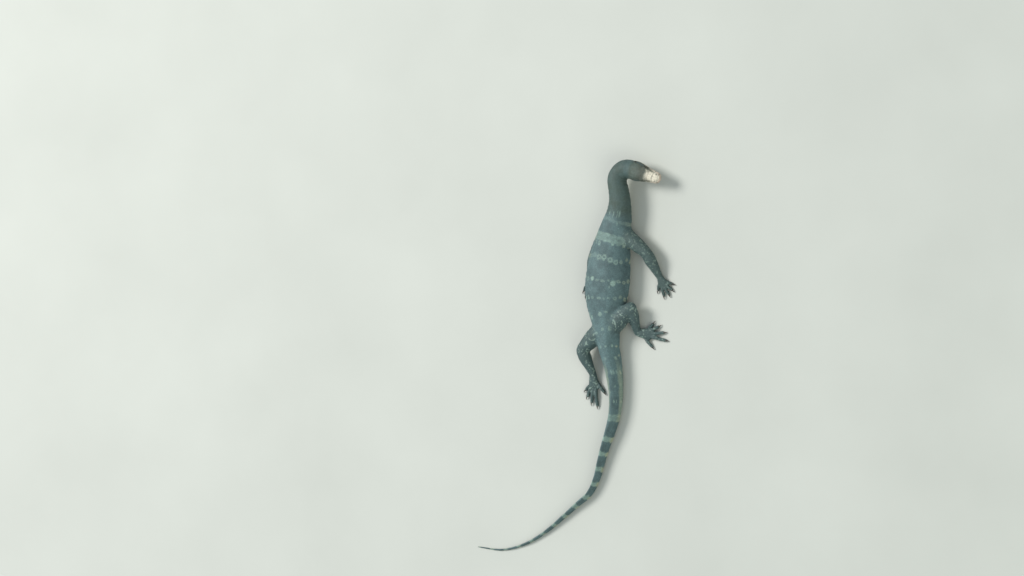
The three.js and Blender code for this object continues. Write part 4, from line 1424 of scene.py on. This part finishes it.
def scale_mesh(name, seeds, unwrap):
    """One mesh of scales with their colours, painted shade round each rim and a painted highlight on
    each tip, and bake patches.
    """
    place, outward, across, back, height, lean, colour, reach = seeds
    count, sides = reach.shape
    turns = scale_turns(sides)
    shoulder = PLATE_SHOULDER if sides == PLATE_SIDES else SCALE_SHOULDER
    flat = np.cos(turns)[:, None, None] * across + np.sin(turns)[:, None, None] * back
    rim = reach.T[..., None] * flat
    up = outward * height[:, None]
    low = place + rim - outward * UNDERSIDE
    mid = place + shoulder * rim + SHOULDER_HEIGHT * up + back * (SHOULDER_LEAN * lean)[:, None]
    tip = place + up + back * lean[:, None]
    vertices = np.concatenate([low, mid, tip[None]]).transpose(1, 0, 2).reshape(-1, 3)
    vertices[:, 2] = np.maximum(vertices[:, 2], 0.02)
    each = 2 * sides + 1
    ring = np.arange(sides)
    after = (ring + 1) % sides
    quads = np.stack([ring, after, after + sides, ring + sides], 1).ravel()
    caps = np.stack([ring + sides, after + sides, np.full(sides, 2 * sides)], 1).ravel()
    pattern = np.concatenate([quads, caps, ring[::-1]])
    loops = (pattern + each * np.arange(count)[:, None]).ravel()
    totals = np.tile([4] * sides + [3] * sides + [sides], count)
    starts = np.concatenate([[0], np.cumsum(totals)[:-1]])
    mesh = bpy.data.meshes.new(name)
    mesh.vertices.add(len(vertices))
    write(mesh.vertices, "co", vertices * MM)
    mesh.loops.add(len(loops))
    write(mesh.loops, "vertex_index", loops, np.int32)
    mesh.polygons.add(len(totals))
    write(mesh.polygons, "loop_start", starts, np.int32)
    write(mesh.polygons, "use_smooth", np.tile([True] * (2 * sides) + [False], count), bool)
    mesh.update(calc_edges=True)
    # Each scale's colour is darkened at its rim as painted shade and lightened at its tip as a painted
    # highlight
    painted_shading = np.array([RIM_PAINTED_SHADE] * sides + [SHOULDER_PAINTED_SHADE] * sides + [TIP_PAINTED_HIGHLIGHT])
    paint(mesh, np.clip(colour[:, None] * painted_shading[:, None], 0, 1).reshape(-1, 3))
    circle_points = np.stack([np.cos(turns), np.sin(turns)], 1)
    patch = np.vstack([circle_points, 0.75 * circle_points, [[0, 0]]])
    bake = (unwrap[:, None] + PATCH_RADIUS * patch).reshape(-1, 2)
    write(mesh.uv_layers.new(name="OFBake").data, "uv", bake[loops])
    return placed(name, mesh)


REGION_ENDS = [180, 290, 380, VENT, VENT + 120, VENT + 260]
REGION_NAMES = (
    "neck_scales",
    "shoulder_scales",
    "back_scales",
    "loin_scales",
    "tail_root_scales",
    "tail_middle_scales",
    "tail_end_scales",
    "right_fore_scales",
    "left_fore_scales",
    "right_hind_scales",
    "left_hind_scales",
    "head_scales",
)
HEAD_REGION = len(REGION_NAMES) - 1
HEAD_RADIUS = 22


def unwrapped(place):
    """Each root's place on an unwrap of its own region, and the number of that region."""
    distance, angle, out = body_coordinates(place)
    flat = np.stack([distance, arc_at(distance, angle)], 1)
    region = np.searchsorted(REGION_ENDS, distance)
    for number, name in enumerate(LIMBS, len(REGION_ENDS) + 1):
        joints = np.array(limb_joints(name))
        bones = np.diff(joints, axis=0)
        reach = np.cumsum(np.linalg.norm(bones, axis=1))
        along, chosen = held_by_limb(name, place, out)
        part = np.clip(along.astype(int), 0, 2)
        forward = unit(bones)[part]
        across = unit(np.cross(forward, UP))
        above = np.cross(across, forward)
        away = place - joints[part]
        turn = np.arctan2((away * across).sum(1), (away * above).sum(1))
        ahead = (away * forward).sum(1) + np.array([0, *reach[:2]])[part]
        radius = lerp(22, 12, np.clip(along / 3, 0, 1))
        flat = np.where(chosen[:, None], np.stack([ahead, turn * radius], 1), flat)
        region = np.where(chosen, number, region)
    local = to_head(place)
    chosen = on_head(local) & (local[:, 1] > 2)
    turn = np.arctan2(local[:, 0], local[:, 2])
    flat = np.where(chosen[:, None], np.stack([local[:, 1], turn * HEAD_RADIUS], 1), flat)
    return flat, np.where(chosen, HEAD_REGION, region)


def scale_forms(place, size, region):
    """How high each scale rises and how far its tip leans back."""
    distance, angle, out = body_coordinates(place)
    crest = (np.abs(arc_at(distance, angle)) < 1.6) & (distance > CREST_FROM) & (out < 1.1)
    crest &= region <= len(REGION_ENDS)
    plate = region == HEAD_REGION
    height = np.where(plate, PLATE_FORM[0], SCALE_FORM[0]) * np.clip(size / FORM_SIZE, 0.5, 1.1)
    lean = np.where(plate, PLATE_FORM[1], SCALE_FORM[1]) * size / FORM_SIZE
    return np.where(crest, CREST_FORM[0], height), np.where(crest, CREST_FORM[1], lean)


def near_limb_root(points):
    """Where a limb's flesh meets the body, the body's own rings stop."""
    near = np.zeros(len(points), bool)
    for name in LIMBS:
        near |= limb_coordinates(name, points)[1] < 1.3
    return near & (body_coordinates(points)[2] > 1.06)


def rooted(surface, tree):
    """The places, outward directions and sizes of all scales."""
    rings = lattice_points(body_lattice())
    place, outward, gap = onto(surface, tree, np.vstack([rings, head_rows()]))
    size = spacing(place)
    local = to_head(place)
    in_head_rows = np.arange(len(place)) >= len(rings)
    keep = (gap < 3.5) & (size > 0) & ~near_limb_root(place)
    keep &= ~under_plates(local) | in_head_rows
    keep &= (body_coordinates(place)[0] > RINGS_FROM - 3) | on_head(local)
    place, outward, size = place[keep], outward[keep], size[keep]
    more = scatter(surface, place, SCALES_TRIED)
    free = np.arange(len(place), len(place) + len(more[0]))
    place, outward, size = (np.concatenate(pair) for pair in zip((place, outward, size), more))
    place = spread_out(surface, tree, place, size, free)
    place, outward, gap = onto(surface, tree, place)
    return place, outward, size


def build_coat(mesh):
    surface = surface_of(mesh)
    tree = BVHTree.FromPolygons(surface[0].tolist(), surface[2].tolist())
    place, outward, size = rooted(surface, tree)
    across, back = backward(place, outward)
    flat, region = unwrapped(place)
    colour = hues(place) * np.exp(SHADE_JITTER * rng.standard_normal(len(place)))[:, None]
    height, lean = scale_forms(place, size, region)
    reach = {sides: outlines(place, across, back, size, sides) for sides in (SCALE_SIDES, PLATE_SIDES)}
    coats = []
    for number, name in enumerate(REGION_NAMES):
        chosen = region == number
        lowest, highest = flat[chosen].min(0), flat[chosen].max(0)
        unwrap = 0.01 + 0.98 * (flat[chosen] - lowest) / (highest - lowest)
        sides = PLATE_SIDES if number == HEAD_REGION else SCALE_SIDES
        seeds = (place, outward, across, back, height, lean, colour, reach[sides])
        coats.append(scale_mesh(name, [values[chosen] for values in seeds], unwrap))
    return coats


# Eyes
PUPIL = 17.0
IRIS = 36.0
EYE_SIDES = 64
EYE_BLACK = srgb(10, 9, 9)
EYE_GOLD = srgb(158, 118, 62)
EYE_BROWN = srgb(54, 38, 28)


def build_eye(side):
    centre, axis, ahead, above = eye_frame(side)
    polar = np.radians(np.concatenate([[0.5], np.arange(3, 178, 3.0)]))
    p, t = np.meshgrid(polar, circle(EYE_SIDES), indexing="ij")
    bulge = 1 + 0.04 * bell(np.degrees(p), 30)
    radial = np.cos(t)[..., None] * ahead + np.sin(t)[..., None] * above
    outward = np.cos(p)[..., None] * axis + np.sin(p)[..., None] * radial
    local = centre + EYE_RADIUS * bulge[..., None] * outward
    points, faces = loft(from_head(local.reshape(-1, 3)).reshape(local.shape))
    if side < 0:
        faces = [face[::-1] for face in faces]
    obj = new_object("right_eye" if side > 0 else "left_eye", points, faces)
    h, b, c = eye_coordinates(to_head(points), side)
    off_axis = np.degrees(np.arctan2(np.hypot(b, c), h))
    turn = np.arctan2(c, b)
    spokes = noise(np.stack([off_axis * 0.25, 9 * np.cos(turn), 9 * np.sin(turn)], 1), 1, 61)
    colour = mix(EYE_BROWN, EYE_GOLD, 0.75 * bell(off_axis - PUPIL - 2.5, 3) + 0.15 * spokes)
    colour = mix(colour, EYE_BLACK, smoothstep(PUPIL + 1, PUPIL - 1, off_axis))
    colour = mix(colour, EYE_BLACK, 0.92 * smoothstep(IRIS - 3, IRIS + 3, off_axis))
    paint(obj.data, np.clip(colour, 0.002, 1))
    smooth(obj.data)
    return obj


# Claws
CLAW_STEPS = 14
CLAW_SIDES = 14


def build_claw(name, index):
    base, direction, reach, thick = digit_route(name, index)
    t = np.linspace(0, 1, CLAW_STEPS)
    middle = base + direction * (reach + lerp(-2.2, CLAW_LENGTH - 0.3, t))[:, None]
    middle[:, 2] = thick * between(CLAW_ROWS, t, 1) + CLAW_TIP + 1.1 * np.sin(math.pi * t)
    size = between(CLAW_ROWS, t, 2)
    across = np.cross(direction, UP)
    angle = circle(CLAW_SIDES)
    blade = 1 - 0.35 * np.clip(-np.sin(angle), 0, 1)
    rings = (
        middle[:, None]
        + across * (0.8 * CLAW_HALF[0] * size[:, None] * np.cos(angle) * blade)[..., None]
        + UP * (0.95 * CLAW_HALF[1] * size[:, None] * np.sin(angle))[..., None]
    )
    rings[..., 2] = np.maximum(rings[..., 2], 0.05)
    node = f"{name.split('_')[0]}_{kind_of(name)['end']}_claw_{index + 1}"
    obj = new_object(node + "_horn", *loft(rings))
    smooth(obj.data)
    return obj, node


# Materials
def material(name, roughness, build):
    made = bpy.data.materials.new(name)
    made.use_nodes = True
    nodes, links = made.node_tree.nodes, made.node_tree.links
    shader = nodes["Principled BSDF"]
    shader.inputs["Roughness"].default_value = roughness
    build(nodes, links, shader)
    return made


def add(nodes, kind, **values):
    node = nodes.new(kind)
    for key, value in values.items():
        if key in node.inputs:
            node.inputs[key].default_value = value
        else:
            setattr(node, key, value)
    return node


def bumped(nodes, links, shader, source, strength, distance):
    bump = add(nodes, "ShaderNodeBump", Strength=strength, Distance=distance)
    links.new(source, bump.inputs["Height"])
    links.new(bump.outputs["Normal"], shader.inputs["Normal"])


def tinted(nodes, links, shader, grain, low, high):
    """The painted colour, made lighter and darker by a fine grain."""
    attribute = add(nodes, "ShaderNodeAttribute", attribute_name="tint")
    spread = add(nodes, "ShaderNodeMapRange", **{"To Min": low, "To Max": high})
    links.new(grain, spread.inputs["Value"])
    scale = add(nodes, "ShaderNodeVectorMath", operation="SCALE")
    links.new(attribute.outputs["Color"], scale.inputs[0])
    links.new(spread.outputs["Result"], scale.inputs["Scale"])
    links.new(scale.outputs["Vector"], shader.inputs["Base Color"])


def ramped(nodes, links, shader, grain, dark, light):
    """A fine grain between two colours."""
    ramp = nodes.new("ShaderNodeValToRGB")
    for element, colour in zip(ramp.color_ramp.elements, (dark, light)):
        element.color = (*colour, 1)
    links.new(grain, ramp.inputs["Fac"])
    links.new(ramp.outputs["Color"], shader.inputs["Base Color"])


def skin_look(nodes, links, shader):
    grain = add(nodes, "ShaderNodeTexNoise", Scale=900.0, Detail=3.0)
    # Painted shade: the skin between the scales is painted darker, 0.45 to 0.85 of its colour, as the
    # gaps between scales lie in shade
    tinted(nodes, links, shader, grain.outputs["Fac"], 0.45, 0.85)
    pores = add(nodes, "ShaderNodeTexVoronoi", Scale=1100.0)
    bumped(nodes, links, shader, pores.outputs["Distance"], 0.5, 0.0002)


def scale_look(nodes, links, shader):
    grain = add(nodes, "ShaderNodeTexNoise", Scale=1500.0, Detail=4.0)
    tinted(nodes, links, shader, grain.outputs["Fac"], 0.78, 1.22)
    bumped(nodes, links, shader, grain.outputs["Fac"], 0.35, 0.0001)
    shader.inputs["Specular IOR Level"].default_value = 0.45


def eye_look(nodes, links, shader):
    grain = add(nodes, "ShaderNodeTexNoise", Scale=2500.0, Detail=2.0)
    tinted(nodes, links, shader, grain.outputs["Fac"], 0.8, 1.2)
    shader.inputs["Coat Weight"].default_value = 0.7
    shader.inputs["Coat Roughness"].default_value = 0.02
    shader.inputs["Specular IOR Level"].default_value = 0.0


def claw_look(nodes, links, shader):
    grain = add(nodes, "ShaderNodeTexNoise", Scale=600.0, Detail=4.0)
    ramped(nodes, links, shader, grain.outputs["Fac"], srgb(34, 29, 27), srgb(78, 68, 60))
    bumped(nodes, links, shader, grain.outputs["Fac"], 0.3, 0.0002)


def floor_look(nodes, links, shader):
    grain = add(nodes, "ShaderNodeTexNoise", Scale=40.0, Detail=5.0)
    ramped(nodes, links, shader, grain.outputs["Fac"], srgb(176, 178, 172), srgb(190, 192, 186))


skin_material = material("skin_between_scales", 0.6, skin_look)
scale_material = material("scales", 0.48, scale_look)
eye_material = material("eye", 0.25, eye_look)
claw_material = material("claw_horn", 0.35, claw_look)
floor_material = material("floor", 0.85, floor_look)


# Dress the frame
skin = build_skin()
paint(skin.data, hues(places(skin.data)))
skin.data.materials.append(skin_material)
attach(skin, "root")
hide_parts(*[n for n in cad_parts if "claw" not in n and "eye" not in n])
for coat in build_coat(skin.data):
    coat.data.materials.append(scale_material)
    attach(coat, "root")
for side in (1, -1):
    eye = build_eye(side)
    eye.data.materials.append(eye_material)
    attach(eye, "root")
    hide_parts("eye_right" if side > 0 else "eye_left")
for name in LIMBS:
    for index in range(DIGITS):
        claw, node = build_claw(name, index)
        claw.data.materials.append(claw_material)
        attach(claw, "root")
        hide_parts(node)


# Camera, floor and light
# A pixel in millimetres, and the pixel that shows the place at the target height over the origin
PIXEL = 2.75
TILT = math.radians(30)
CAMERA_LENS = 200.0
SENSOR = 36.0
IMAGE_WIDTH = 1024
IMAGE_HEIGHT = 576
TARGET_PIXEL = (605, 300)
TARGET_HEIGHT = 40.0
CLIP_END = 200
FLOOR_HALF = 8000
SKY_COLOUR = (0.84, 0.94, 1.0, 1)
SKY_STRENGTH = 0.56
# Lights: name, place, size, power and colour
LIGHTS = [
    ("key", (-6.4, 3.4, 7.6), 3.9, 1180, (1.0, 0.99, 0.96)),
    ("fill", (6.6, -3.2, 5.4), 5.6, 290, (0.97, 1.0, 0.86)),
]
LIT_PLACE = Vector((0, -0.1, 0))


def build_camera():
    right = Vector((math.cos(TILT), 0, -math.sin(TILT)))
    up = Vector((0, 1, 0))
    back = right.cross(up)
    distance = IMAGE_WIDTH * PIXEL * CAMERA_LENS / SENSOR
    centre = (
        Vector((0, 0, TARGET_HEIGHT))
        + right * (IMAGE_WIDTH / 2 - TARGET_PIXEL[0]) * PIXEL
        + up * (TARGET_PIXEL[1] - IMAGE_HEIGHT / 2) * PIXEL
    )
    data = bpy.data.cameras.new("camera")
    data.lens = CAMERA_LENS
    data.sensor_width = SENSOR
    data.clip_end = CLIP_END
    camera = placed("camera", data)
    turn = Matrix((right, up, back)).transposed().to_4x4()
    camera.matrix_world = Matrix.Translation((centre + back * distance) * MM) @ turn
    bpy.context.scene.camera = camera


def build_light(name, place, size, power, colour):
    data = bpy.data.lights.new(name, "AREA")
    data.size = size
    data.energy = power
    data.color = colour
    turn = (Vector(place) - LIT_PLACE).to_track_quat("Z", "Y").to_matrix().to_4x4()
    placed(name, data).matrix_world = Matrix.Translation(place) @ turn


def build_stage():
    corners = FLOOR_HALF * np.array([[-1, -1, 0], [1, -1, 0], [1, 1, 0], [-1, 1, 0]])
    floor = new_object("floor", corners, [[0, 1, 2, 3]])
    floor.data.materials.append(floor_material)
    world = bpy.data.worlds.new("sky")
    world.use_nodes = True
    background = world.node_tree.nodes["Background"]
    background.inputs["Color"].default_value = SKY_COLOUR
    background.inputs["Strength"].default_value = SKY_STRENGTH
    bpy.context.scene.world = world
    for light in LIGHTS:
        build_light(*light)
    bpy.context.scene.view_settings.view_transform = "Standard"


build_camera()
build_stage()
